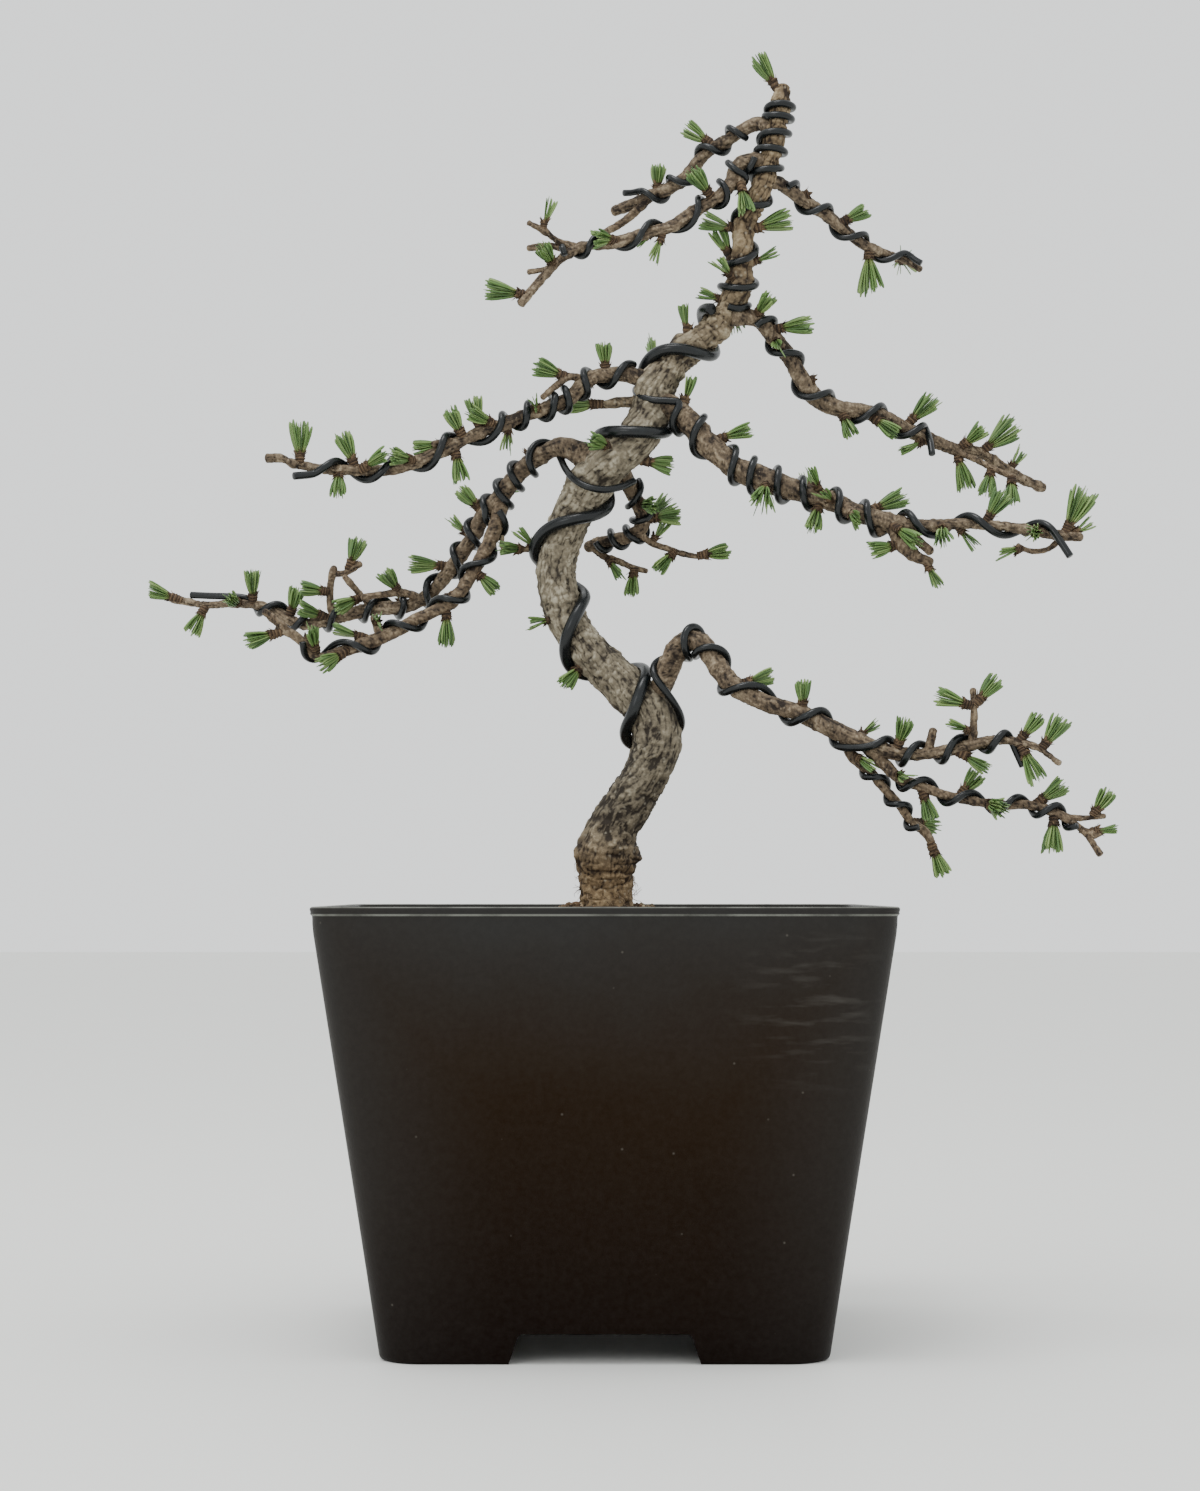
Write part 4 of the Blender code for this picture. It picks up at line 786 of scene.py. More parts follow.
@dataclass(frozen=True)
class ShootRule:
    """Where the frame's short shoots stand, in metres, so that the finer ones keep their form."""

    faces: int = 5
    radius: float = 0.0018
    length: float = 0.0042
    spin: float = 0.3
    core: float = 0.0007
    shoulder: float = 0.0006
    blade: float = 0.0007
    shortest: float = 0.0055
    longest: float = 0.0115
    fan: float = math.radians(25)
    clear: float = 0.00035
    shifts: tuple[float, ...] = (
        0, 0.0015, -0.0015, 0.003, -0.003, 0.0045, -0.0045, 0.006, -0.006,
    )
    turns: tuple[int, ...] = (0, 20, -20, 40, -40, 65, -65, 90, -90, 125, -125)

    def is_clear(self, a: Array, b: Array, radius: float, table: Array,
                 count: int = 6) -> bool:
        """Whether COUNT points of a straight piece from A to B stay clear of what is taken."""
        samples = np.array([a + (b - a) * i / (count - 1) for i in range(count)])
        gap, _ = distances(samples, table)
        return float(gap.min()) > radius + self.clear

    def grown(self, limbs: list[Limb], row: Sequence, table: Array,
              rng: Random) -> Shoot | None:
        """The shoot of a row of the drawing, or none where nothing fits.

        Args:
            limbs: The limbs of its stem.
            row: Root, tip, depth and kind, as drawn.
            table: The space that is taken.
            rng: The stem's seeded random source.

        Returns:
            The shoot, with the tips of its needles.
        """
        root_across, root_down, tip_across, tip_down, toward, kind = row
        limb = min(limbs, key=lambda one: one.nearest(root_across, root_down)[1])
        start = limb.nearest(root_across, root_down)[0]
        centre = limb.at(start)[0]
        tip = SIGHT.place(tip_across, tip_down, -centre[1] + MM * toward)
        aim = unit(tip - centre)
        reach = np.linalg.norm(tip - centre)
        spur = min(self.length, 0.42 * max(reach - limb.at(start)[1], 0.002))
        thick = self.radius * (0.8 if kind is ShootKind.THIN else 1.0)
        for shift in self.shifts:
            for angle in self.turns:
                centre, wood, direction = limb.at(start + shift)
                heading = unit(turned(aim, direction, math.radians(angle)))
                lift = abs(heading.dot(direction))
                out = min(wood / math.sqrt(max(1 - lift * lift, 0.15)), 2.2 * wood)
                end = centre + heading * (out + spur)
                if not self.is_clear(centre + heading * out * 0.7, end, thick, table):
                    continue
                tips = self.tips(end, heading, reach - out - spur, kind, table, rng)
                if kind is ShootKind.BUD or tips:
                    return Shoot(centre, heading, end, thick, out, kind, tips)
        return None

    def tips(self, end: Array, heading: Array, length: float, kind: ShootKind,
             table: Array, rng: Random) -> list[Array | None]:
        """The outline that the needles of a spur fill.

        Args:
            end: The spur's end.
            heading: Its direction.
            length: How long its needles are drawn.
            kind: How much it bears.
            table: The space that is taken.
            rng: The stem's seeded random source.

        Returns:
            The tips of the outline, the middle one first, and none where one doesn't fit.
        """
        if kind is ShootKind.BUD:
            return []
        length = min(max(length, self.shortest), self.longest)
        middle = end + heading * length
        if not self.is_clear(end, middle, self.blade, table, 8):
            return []
        front, side = across_axes(heading)
        ring = (self.radius + self.core) / 2
        found: list[Array | None] = [middle] + [None] * self.faces
        for index in range(0, self.faces, 1 if kind is ShootKind.FULL else 2):
            around = self.spin + 2 * math.pi * (index + 0.5) / self.faces
            out = math.cos(around) * front + math.sin(around) * side
            root = end + heading * self.shoulder / 2 + out * ring
            for _ in range(8):
                fan = self.fan * rng.uniform(0.75, 1.2)
                lean = around + rng.uniform(-0.25, 0.25)
                lean_out = math.cos(lean) * front + math.sin(lean) * side
                way = math.cos(fan) * heading + math.sin(fan) * lean_out
                tip = root + way * length * rng.uniform(0.85, 1.02)
                if self.is_clear(root, tip, self.blade, table, 8):
                    found[index + 1] = tip
                    break
        return found

    def capsules(self, shoot: Shoot) -> list[Capsule]:
        """The space that a shoot takes.

        Args:
            shoot: The shoot.

        Returns:
            Its spur, and a capsule for each tip of its outline.
        """
        found: list[Capsule] = [(shoot.root, shoot.end, shoot.radius, shoot.radius)]
        if shoot.kind is ShootKind.BUD:
            return found
        sharp = self.blade * 0.3
        found.append((shoot.end, shoot.tips[0], self.blade, sharp))
        front, side = across_axes(unit(shoot.end - shoot.root))
        for i in range(self.faces):
            tip = shoot.tips[i + 1]
            if tip is None:
                continue
            a = self.spin + 2 * math.pi * i / self.faces
            b = self.spin + 2 * math.pi * (i + 1) / self.faces
            outer = shoot.end + shoot.radius * (math.cos(a) * front + math.sin(a) * side)
            inner = math.cos(b) * front + math.sin(b) * side
            inner = shoot.end + unit(shoot.heading) * self.shoulder + self.core * inner
            found.append(((outer + inner) / 2, tip, self.blade, sharp))
        return found


@dataclass
class Growth:
    """The tree's layout: its limbs, its shoots and the runs of its wires."""

    seed: int = 7
    frame_wires: WireRule = WireRule(6, 80, (0.0, 0.25, 0.5, 0.75), 0.00038)
    fine_wires: WireRule = WireRule(18, 24, (0.0, 0.5), 0.00016, True)
    rule: ShootRule = ShootRule()
    limbs: dict[str, list[Limb]] = field(default_factory=dict)
    shoots: dict[str, list[Shoot]] = field(default_factory=dict)
    runs: dict[str, Array] = field(default_factory=dict)

    def lay_out(self) -> None:
        """Lays out limbs, shoots and wires."""
        self.limbs = {stem: limbs_of(stem) for stem in STEMS}
        taken = self.wood()
        self.frame_wires.lay(self.limbs, taken)
        rng = Random(self.seed)
        for stem, limbs in self.limbs.items():
            self.shoots[stem] = []
            for row in STEMS[stem].shoot_rows():
                shoot = self.rule.grown(limbs, row, taken.select((stem,)), rng)
                if shoot:
                    self.shoots[stem].append(shoot)
                    taken.add(stem, self.rule.capsules(shoot))
        self.runs = self.fine_wires.lay(self.limbs, self.wood())

    def wood(self) -> Clearance:
        """The space that the wood takes."""
        taken = Clearance()
        for stem, limbs in self.limbs.items():
            for limb in limbs:
                taken.add(stem, limb.capsules())
        return taken


def frames_along(path: Array) -> tuple[Array, Array]:
    """Front and side directions square to a path at each point, with no twist between them."""
    ways = tangents(path)
    front, _ = across_axes(ways[0])
    fronts = np.empty_like(path)
    for index, way in enumerate(ways):
        front = unit(front - way * front.dot(way))
        fronts[index] = front
    return fronts, np.cross(ways, fronts)


def eased(points: Array, values: Array, step: float) -> tuple[Array, Array]:
    """A smooth curve through points, at even steps.

    Args:
        points: The points it passes through.
        values: A value at each point, eased in the same way.
        step: Length between the points that come back.

    Returns:
        The curve's points, and the value at each.
    """
    data = np.column_stack((points, values))
    lengths = np.maximum(np.linalg.norm(np.diff(points, axis=0), axis=1), 1e-7)
    along = np.concatenate(((0.0,), np.cumsum(lengths)))
    slopes = np.gradient(data, along, axis=0)
    at = np.linspace(0.0, along[-1], max(3, round(along[-1] / step) + 1))
    leg = np.clip(np.searchsorted(along, at, side="right") - 1, 0, len(along) - 2)
    h = lengths[leg][:, None]
    t = ((at - along[leg]) / lengths[leg])[:, None]
    found = (
        (2 * t**3 - 3 * t**2 + 1) * data[leg]
        + (t**3 - 2 * t**2 + t) * h * slopes[leg]
        + (3 * t**2 - 2 * t**3) * data[leg + 1]
        + (t**3 - t**2) * h * slopes[leg + 1]
    )
    return found[:, :3], found[:, 3]


def placed(name: str, data: bpy.types.ID) -> Object:
    """A new object of some data, in the scene."""
    made = bpy.data.objects.new(name, data)
    bpy.context.scene.collection.objects.link(made)
    return made


@dataclass
class MeshMaker:
    """Gathers the vertices, faces and tints of one mesh.

    A tint holds four values that a material reads: what they mean is the piece's own matter.
    """

    vertices: list[Array] = field(default_factory=list)
    faces: list[tuple[int, ...]] = field(default_factory=list)
    tints: list[Array] = field(default_factory=list)
    count: int = 0

    def add(self, vertices: Array, faces: Iterable[Sequence[int]], tint: Array) -> None:
        """Adds a closed body.

        Args:
            vertices: Its points.
            faces: Its faces, as places in VERTICES.
            tint: A tint for each vertex, or one for all.
        """
        vertices = np.asarray(vertices, float).reshape(-1, 3)
        self.vertices.append(vertices)
        self.tints.append(np.broadcast_to(np.asarray(tint, float), (len(vertices), 4)))
        self.faces.extend(tuple(i + self.count for i in face) for face in faces)
        self.count += len(vertices)

    def add_rings(self, rings: Array, tint: Array = PLAIN) -> None:
        """Adds a body through rings of points, capped at both ends.

        Args:
            rings: Points as (ring, place in the ring, 3).
            tint: Tints as (ring, place in the ring, 4), or one for all.
        """
        count, sides = rings.shape[:2]
        tints = np.broadcast_to(np.asarray(tint, float), (count, sides, 4)).reshape(-1, 4)
        rows = np.arange(count - 1)[:, None] * sides
        cols = np.arange(sides)[None]
        after = (cols + 1) % sides
        quads = np.stack((rows + cols, rows + after, rows + sides + after, rows + sides + cols), -1)
        faces = quads.reshape(-1, 4).tolist()
        faces.append(range((count - 1) * sides, count * sides))
        faces.append(reversed(range(sides)))
        self.add(rings, faces, tints)

    def build(self, name: str, material: Material | None, smooth: bool = True) -> Object:
        """The finished object, at the origin, with its tint as an attribute.

        Args:
            name: Its name.
            material: Its material, or none for a cutter, which has no tint either.
            smooth: Whether its faces are shaded smooth.

        Returns:
            The object.
        """
        mesh = bpy.data.meshes.new(name)
        mesh.from_pydata(np.vstack(self.vertices).tolist(), [], self.faces)
        if material is None:
            return placed(name, mesh)
        mesh.update()
        attribute = mesh.attributes.new(TINT, "FLOAT_COLOR", "POINT")
        attribute.data.foreach_set("color", np.vstack(self.tints).astype(np.float32).ravel())
        mesh.materials.append(material)
        if smooth:
            mesh.shade_smooth()
        return placed(name, mesh)


class NodeBench:
    """Places and links the nodes of a material or a node group."""

    def __init__(self, tree: bpy.types.NodeTree) -> None:
        """Works on a node tree."""
        self.tree = tree

    def feed(self, socket: Socket, value: object) -> None:
        """Links an output to a socket, or sets the socket to a value.

        Args:
            socket: The socket.
            value: Another node's output, a number, a vector, or a colour without alpha.
        """
        if isinstance(value, Socket):
            self.tree.links.new(value, socket)
        elif socket.type == "RGBA":
            socket.default_value = (*value, 1.0)
        else:
            socket.default_value = value

    def add(self, kind: str, inputs: dict | None = None, **settings: object) -> bpy.types.Node:
        """Places a node.

        Args:
            kind: The node's type.
            inputs: What goes into its sockets: a value, or another node's output.
            **settings: The node's own settings.

        Returns:
            The node.
        """
        node = self.tree.nodes.new(kind)
        for name, value in settings.items():
            setattr(node, name, value)
        for key, value in (inputs or {}).items():
            self.feed(node.inputs[key], value)
        return node

    def ramp(self, factor: Socket, stops: Sequence[tuple[float, Colour]]) -> Socket:
        """A colour ramp over a value.

        Args:
            factor: The value.
            stops: The places of the ramp's colours, and the colours.

        Returns:
            The colour.
        """
        node = self.add("ShaderNodeValToRGB", {"Fac": factor})
        elements = node.color_ramp.elements
        while len(elements) < len(stops):
            elements.new(0.5)
        for element, (place, colour) in zip(elements, stops):
            element.position = place
            element.color = (*colour, 1.0)
        return node.outputs["Color"]

    def blended(self, factor: object, a: object, b: object) -> Socket:
        """Two colours mixed: A where the factor is zero, B where it is one."""
        return self.add("ShaderNodeMix", {0: factor, 6: a, 7: b}, data_type="RGBA").outputs[2]

    def ranged(self, value: object, low: object, high: object, to_low: float = 0.0,
               to_high: float = 1.0) -> Socket:
        """A value whose range from LOW to HIGH is brought to another, and clamped there."""
        limits = {"From Min": low, "From Max": high, "To Min": to_low, "To Max": to_high}
        return self.add("ShaderNodeMapRange", {"Value": value, **limits}).outputs["Result"]

    def maths(self, operation: str, a: object, b: object = 0.0) -> Socket:
        """Arithmetic on one or two values."""
        return self.add("ShaderNodeMath", {0: a, 1: b}, operation=operation).outputs[0]

    def plus(self, value: object, more: Socket, share: float) -> Socket:
        """A value plus a share of another."""
        return self.maths("ADD", value, self.maths("MULTIPLY", more, share))

    def washed(self, colour: object, mask: Socket, share: float, wash: Colour) -> Socket:
        """A colour with a share of another over it where a mask is."""
        return self.blended(self.maths("MULTIPLY", mask, share), colour, wash)


class Effects:
    """The shader effects that more than one finish uses, each a node group that is built once."""

    def __init__(self) -> None:
        """Builds the groups."""
        self.grain = self._grain()
        self.specks = self._specks()
        self.streaks = self._streaks()

    @staticmethod
    def _shell(name: str, *numbers: str) -> tuple[NodeBench, Sequence[Socket]]:
        """An empty group with a Vector input, number inputs and a Mask output.

        Args:
            name: The group's name.
            *numbers: The names of its number inputs.

        Returns:
            The group's bench, and what it is given.
        """
        tree = bpy.data.node_groups.new(name, "ShaderNodeTree")
        tree.interface.new_socket("Vector", in_out="INPUT", socket_type="NodeSocketVector")
        for number in numbers:
            tree.interface.new_socket(number, in_out="INPUT", socket_type="NodeSocketFloat")
        tree.interface.new_socket("Mask", in_out="OUTPUT", socket_type="NodeSocketFloat")
        bench = NodeBench(tree)
        return bench, bench.add("NodeGroupInput").outputs

    @staticmethod
    def _closed(bench: NodeBench, mask: Socket) -> bpy.types.NodeTree:
        """The group, once its mask is put out."""
        bench.add("NodeGroupOutput", {"Mask": mask})
        return bench.tree

    def _grain(self) -> bpy.types.NodeTree:
        """Soft mottling: noise whose contrast is set by two limits."""
        bench, given = self._shell("Grain", "Scale", "Low", "High")
        noise = bench.add("ShaderNodeTexNoise", {
            "Vector": given["Vector"], "Scale": given["Scale"], "Detail": 5.0, "Roughness": 0.62,
        })
        return self._closed(bench, bench.ranged(noise.outputs[0], given["Low"], given["High"]))

    def _specks(self) -> bpy.types.NodeTree:
        """Small scattered specks: cells whose random value passes a limit."""
        bench, given = self._shell("Specks", "Scale", "Share", "Size")
        cells = bench.add(
            "ShaderNodeTexVoronoi", {"Vector": given["Vector"], "Scale": given["Scale"]}
        )
        picked = bench.add("ShaderNodeSeparateColor", {"Color": cells.outputs["Color"]})
        chosen = bench.maths("LESS_THAN", picked.outputs[0], given["Share"])
        near = bench.ranged(cells.outputs["Distance"], given["Size"], 0.0)
        return self._closed(bench, bench.maths("MULTIPLY", chosen, near))

    def _streaks(self) -> bpy.types.NodeTree:
        """Long thin marks: noise drawn out along X, Y or Z by three scales."""
        bench, given = self._shell("Streaks", "Across", "Along", "Up", "Low", "High")
        scales = bench.add(
            "ShaderNodeCombineXYZ", {0: given["Across"], 1: given["Along"], 2: given["Up"]}
        )
        drawn = bench.add(
            "ShaderNodeVectorMath", {0: given["Vector"], 1: scales.outputs[0]},
            operation="MULTIPLY",
        )
        noise = bench.add(
            "ShaderNodeTexNoise", {"Vector": drawn.outputs[0], "Scale": 1.0, "Detail": 3.0}
        )
        return self._closed(bench, bench.ranged(noise.outputs[0], given["Low"], given["High"]))


class Coat(NodeBench):
    """One material: its effects start from the object's coordinates and end in its shader."""

    def __init__(self, name: str, effects: Effects) -> None:
        """Makes the material NAME, with the shared effects at hand."""
        self.material = bpy.data.materials.new(name)
        self.material.use_nodes = True
        super().__init__(self.material.node_tree)
        self.effects = effects
        self.where = self.add("ShaderNodeTexCoord").outputs["Object"]

    def placed(self, tree: bpy.types.NodeTree, values: dict[str, float]) -> Socket:
        """The mask of a shared effect, placed with its own values."""
        inputs = {"Vector": self.where, **values}
        return self.add("ShaderNodeGroup", inputs, node_tree=tree).outputs[0]

    def grain(self, scale: float, low: float, high: float) -> Socket:
        """Soft mottling."""
        return self.placed(self.effects.grain, {"Scale": scale, "Low": low, "High": high})

    def specks(self, scale: float, share: float, size: float) -> Socket:
        """Small scattered specks."""
        return self.placed(self.effects.specks, {"Scale": scale, "Share": share, "Size": size})

    def tints(self) -> list[Socket]:
        """The first three values of each vertex's tint."""
        tint = self.add("ShaderNodeAttribute", attribute_name=TINT).outputs["Color"]
        return list(self.add("ShaderNodeSeparateColor", {"Color": tint}).outputs)

    def noise(self, scale: float) -> Socket:
        """Fine even noise."""
        node = self.add("ShaderNodeTexNoise", {"Vector": self.where, "Scale": scale, "Detail": 3.0})
        return node.outputs[0]

    def finished(self, specular: float, colour: object, rough: object,
                 relief: Socket | None = None, strength: float = 0.0,
                 depth: float = 0.0) -> Material:
        """Feeds the shader.

        Args:
            specular: How strongly the surface mirrors.
            colour: Its colour.
            rough: Its roughness.
            relief: The height of its fine relief, if any.
            strength: How strongly that shows.
            depth: Its depth in metres.

        Returns:
            The material.
        """
        shader = self.tree.nodes["Principled BSDF"]
        shader.inputs["Specular IOR Level"].default_value = specular
        self.feed(shader.inputs["Base Color"], colour)
        self.feed(shader.inputs["Roughness"], rough)
        if relief:
            bump = {"Height": relief, "Strength": strength, "Distance": depth}
            self.feed(shader.inputs["Normal"], self.add("ShaderNodeBump", bump).outputs[0])
        return self.material


@dataclass(frozen=True)
class PotPlastic:
    """Dark brown satin plastic with dust specks: greyer toward the top and the upright edges with a
    painted sheen, and a deeper, darker brown toward the foot as painted shade.
    """

    # top is the grey of a painted sheen, laid toward the top and the upright edges.
    top: Colour = paint(41, 40, 39)
    middle: Colour = paint(31, 19, 6)
    # foot darkens the lower wall: painted shade.
    foot: Colour = paint(13, 4, 1)
    scuff: Colour = paint(88, 86, 82)
    dust: Colour = paint(110, 106, 98)
    # Pale dust and wear on the lip and rim, with a painted highlight and reflection.
    dust_and_highlight: Colour = paint(150, 152, 144)
    roughness: float = 0.40
    specular: float = 0.05
    height: float = 0.142
    scuff_place: tuple[float, float, float] = (0.0655, -0.088, 0.111)
    # Heights of a pale line under the lip and a pale strip on the rim: dust and wear with a painted
    # highlight.
    pale_line_height: float = 0.13950
    pale_rim_heights: tuple[float, float] = (0.14155, 0.14185)

    def make(self, effects: Effects) -> Material:
        """The material."""
        coat = Coat("pot_plastic", effects)
        parts = coat.add("ShaderNodeSeparateXYZ", {0: coat.where}).outputs
        height = coat.ranged(parts["Z"], 0.0, self.height)
        height = coat.plus(height, coat.grain(14.0, 0.2, 0.8), 0.16)
        # Darker toward the foot: the height ramp paints shade.
        colour = coat.ramp(height, ((0.10, self.foot), (0.75, self.middle)))
        # Painted sheen: greyer toward the top and the upright edges.
        colour = coat.blended(self.painted_sheen(coat, parts, height), colour, self.top)
        mottle = coat.grain(520.0, 0.3, 0.75)
        colour = coat.washed(colour, mottle, 0.05, self.scuff)
        colour = coat.washed(colour, coat.specks(380.0, 0.012, 0.20), 0.4, self.dust)
        marks = self.marks(coat)
        colour = coat.washed(colour, marks, 0.38, self.scuff)
        # A pale line under the lip and a pale rim strip: partly dust and wear, partly a painted
        # highlight and reflection of the room.
        line = coat.maths("ABSOLUTE", coat.maths("SUBTRACT", parts["Z"], self.pale_line_height))
        line = coat.ranged(line, 0.00042, 0.00016)
        rim = coat.maths("MAXIMUM", line, coat.ranged(parts["Z"], *self.pale_rim_heights))
        pale_breakup = coat.ranged(coat.grain(90.0, 0.30, 0.60), 0.0, 1.0, 0.15, 0.50)
        colour = coat.blended(coat.maths("MULTIPLY", rim, pale_breakup), colour, self.dust_and_highlight)
        rough = coat.plus(coat.plus(self.roughness, mottle, 0.10), marks, 0.2)
        relief = coat.plus(coat.noise(1500.0), mottle, 0.6)
        return coat.finished(self.specular, colour, rough, relief, 0.22, 0.00025)

    def painted_sheen(self, coat: Coat, parts: Sequence[Socket], height: Socket) -> Socket:
        """Where a painted sheen greys the plastic: toward the upright edges and the top.

        Args:
            coat: The material's bench.
            parts: The object's coordinates.
            height: The wandering height, from 0 to 1.

        Returns:
            The mask.
        """
        aside = coat.maths("MINIMUM", *(coat.maths("ABSOLUTE", parts[axis]) for axis in "XY"))
        edge = coat.maths("POWER", coat.ranged(aside, 0.030, 0.086), 1.4)
        crown = coat.maths("POWER", coat.ranged(height, 0.62, 1.08), 1.3)
        painted_sheen = coat.maths("MAXIMUM", coat.maths("MULTIPLY", edge, 0.9), crown)
        return coat.maths("MULTIPLY", painted_sheen, coat.ranged(height, 0.0, 0.5, 0.35, 1.0))

    def marks(self, coat: Coat) -> Socket:
        """Level scuffs, gathered in one patch of the front.

        Args:
            coat: The material's bench.

        Returns:
            The mask.
        """
        marks = coat.placed(
            coat.effects.streaks,
            {"Across": 60.0, "Along": 60.0, "Up": 330.0, "Low": 0.52, "High": 0.78},
        )
        reach = coat.add(
            "ShaderNodeVectorMath", {0: coat.where, 1: self.scuff_place}, operation="DISTANCE"
        )
        patch = coat.ranged(reach.outputs["Value"], 0.030, 0.006)
        return coat.maths("MULTIPLY", marks, coat.maths("ADD", patch, 0.02))


@dataclass(frozen=True)
class Bark:
    """Bark whose cracks are dark and whose plates are pale, browner where it is old; the dark of
    the cracks is partly the bark's own tone and partly painted shade.

    A vertex's tint holds its relief, its age and a random shift.
    """

    name: str
    # Tones for crack, plate and crest; the dark crack tone is partly painted shade.
    young: tuple[Colour, Colour, Colour]
    old: tuple[Colour, Colour, Colour]
    scale: float = 1.0
    roughness: float = 0.86
    stops: tuple[float, float, float] = (0.14, 0.54, 0.96)

    def make(self, effects: Effects) -> Material:
        """The material."""
        coat = Coat(self.name, effects)
        relief, age, shift = coat.tints()
        fine = coat.grain(900.0 * self.scale, 0.25, 0.75)
        broad = coat.grain(170.0 * self.scale, 0.3, 0.7)
        level = coat.plus(coat.plus(relief, fine, 0.34), broad, 0.22)
        level = coat.maths("ADD", level, coat.ranged(shift, 0.0, 1.0, -0.40, -0.20))
        stain = coat.grain(52.0 * self.scale, 0.50, 0.68)
        level = coat.maths("SUBTRACT", level, coat.maths("MULTIPLY", stain, 0.17))
        # Darker in the cracks: partly the bark's own tone, partly painted shade.
        ramps = [coat.ramp(level, list(zip(self.stops, tones))) for tones in (self.young, self.old)]
        colour = coat.blended(age, *ramps)
        crack, _, crest = self.young
        colour = coat.washed(colour, coat.specks(620.0 * self.scale, 0.22, 0.42), 0.45, crest)
        colour = coat.washed(colour, coat.specks(760.0 * self.scale, 0.16, 0.45), 0.5, crack)
        rough = coat.ranged(fine, 0.0, 1.0, self.roughness - 0.08, self.roughness + 0.08)
        return coat.finished(0.3, colour, rough, coat.plus(fine, broad, 0.8), 0.55, 0.0004)


@dataclass(frozen=True)
class NeedleGreen:
    """Fresh needles: yellow-green at the base, full green along, each a little different.

    A vertex's tint holds how far along its needle it is, and two random shifts.
    """

    base: Colour = paint(148, 150, 92)
    body: Colour = paint(91, 124, 64)
    tip: Colour = paint(106, 138, 78)
    deep: Colour = paint(50, 80, 46)
    light: Colour = paint(146, 170, 104)
    roughness: float = 0.5

    def make(self, effects: Effects) -> Material:
        """The material."""
        coat = Coat("larch_needles", effects)
        along, first, second = coat.tints()
        colour = coat.ramp(
            along, ((0.0, self.base), (0.3, self.body), (0.8, self.body), (1.0, self.tip))
        )
        colour = coat.blended(coat.ranged(first, 0.35, 1.0, 0.0, 0.85), colour, self.deep)
        colour = coat.blended(coat.ranged(second, 0.5, 1.0, 0.0, 0.75), colour, self.light)
        mottle = coat.grain(1400.0, 0.3, 0.7)
        colour = coat.washed(colour, mottle, 0.14, self.light)
        rough = coat.ranged(mottle, 0.0, 1.0, self.roughness - 0.06, self.roughness + 0.08)
        return coat.finished(0.4, colour, rough, mottle, 0.2, 0.0001)


@dataclass(frozen=True)
class WireCoat:
    """Near-black anodised wire with a blue-green cast, rubbed a little lighter in places."""

    base: Colour = paint(12, 16, 18)
    rubbed: Colour = paint(34, 42, 44)
    roughness: float = 0.20

    def make(self, effects: Effects) -> Material:
        """The material."""
        coat = Coat("training_wire", effects)
        colour = coat.washed(self.base, coat.grain(260.0, 0.5, 0.8), 0.35, self.rubbed)
        fine = coat.grain(1600.0, 0.3, 0.7)
        rough = coat.plus(self.roughness, fine, 0.14)
        return coat.finished(0.36, colour, rough, fine, 0.05, 0.00005)


@dataclass(frozen=True)
class SoilMix:
    """Gritty potting mix. A vertex's tint holds a shade from dark to pale, and how red it is."""

    dark: Colour = paint(40, 31, 23)
    mid: Colour = paint(88, 72, 54)
    pale: Colour = paint(158, 146, 122)
    red: Colour = paint(110, 78, 54)

    def make(self, effects: Effects) -> Material:
        """The material."""
        coat = Coat("potting_mix", effects)
        shade, red, _ = coat.tints()
        fine = coat.grain(1300.0, 0.3, 0.7)
        level = coat.maths("ADD", shade, coat.ranged(fine, 0.0, 1.0, -0.12, 0.12))
        colour = coat.ramp(level, ((0.1, self.dark), (0.5, self.mid), (0.95, self.pale)))
        colour = coat.washed(colour, red, 0.6, self.red)
        rough = coat.ranged(fine, 0.0, 1.0, 0.86, 0.98)
        return coat.finished(0.2, colour, rough, fine, 0.6, 0.0003)


@dataclass(frozen=True)
class TablePaint:
    """Plain pale table top."""

    colour: Colour = paint(240, 240, 236)
    cast: Colour = paint(233, 235, 233)

    def make(self, effects: Effects) -> Material:
        """The material."""
        coat = Coat("pale_table", effects)
        colour = coat.washed(self.colour, coat.grain(3.0, 0.2, 0.8), 0.25, self.cast)
        return coat.finished(0.2, colour, 0.6)


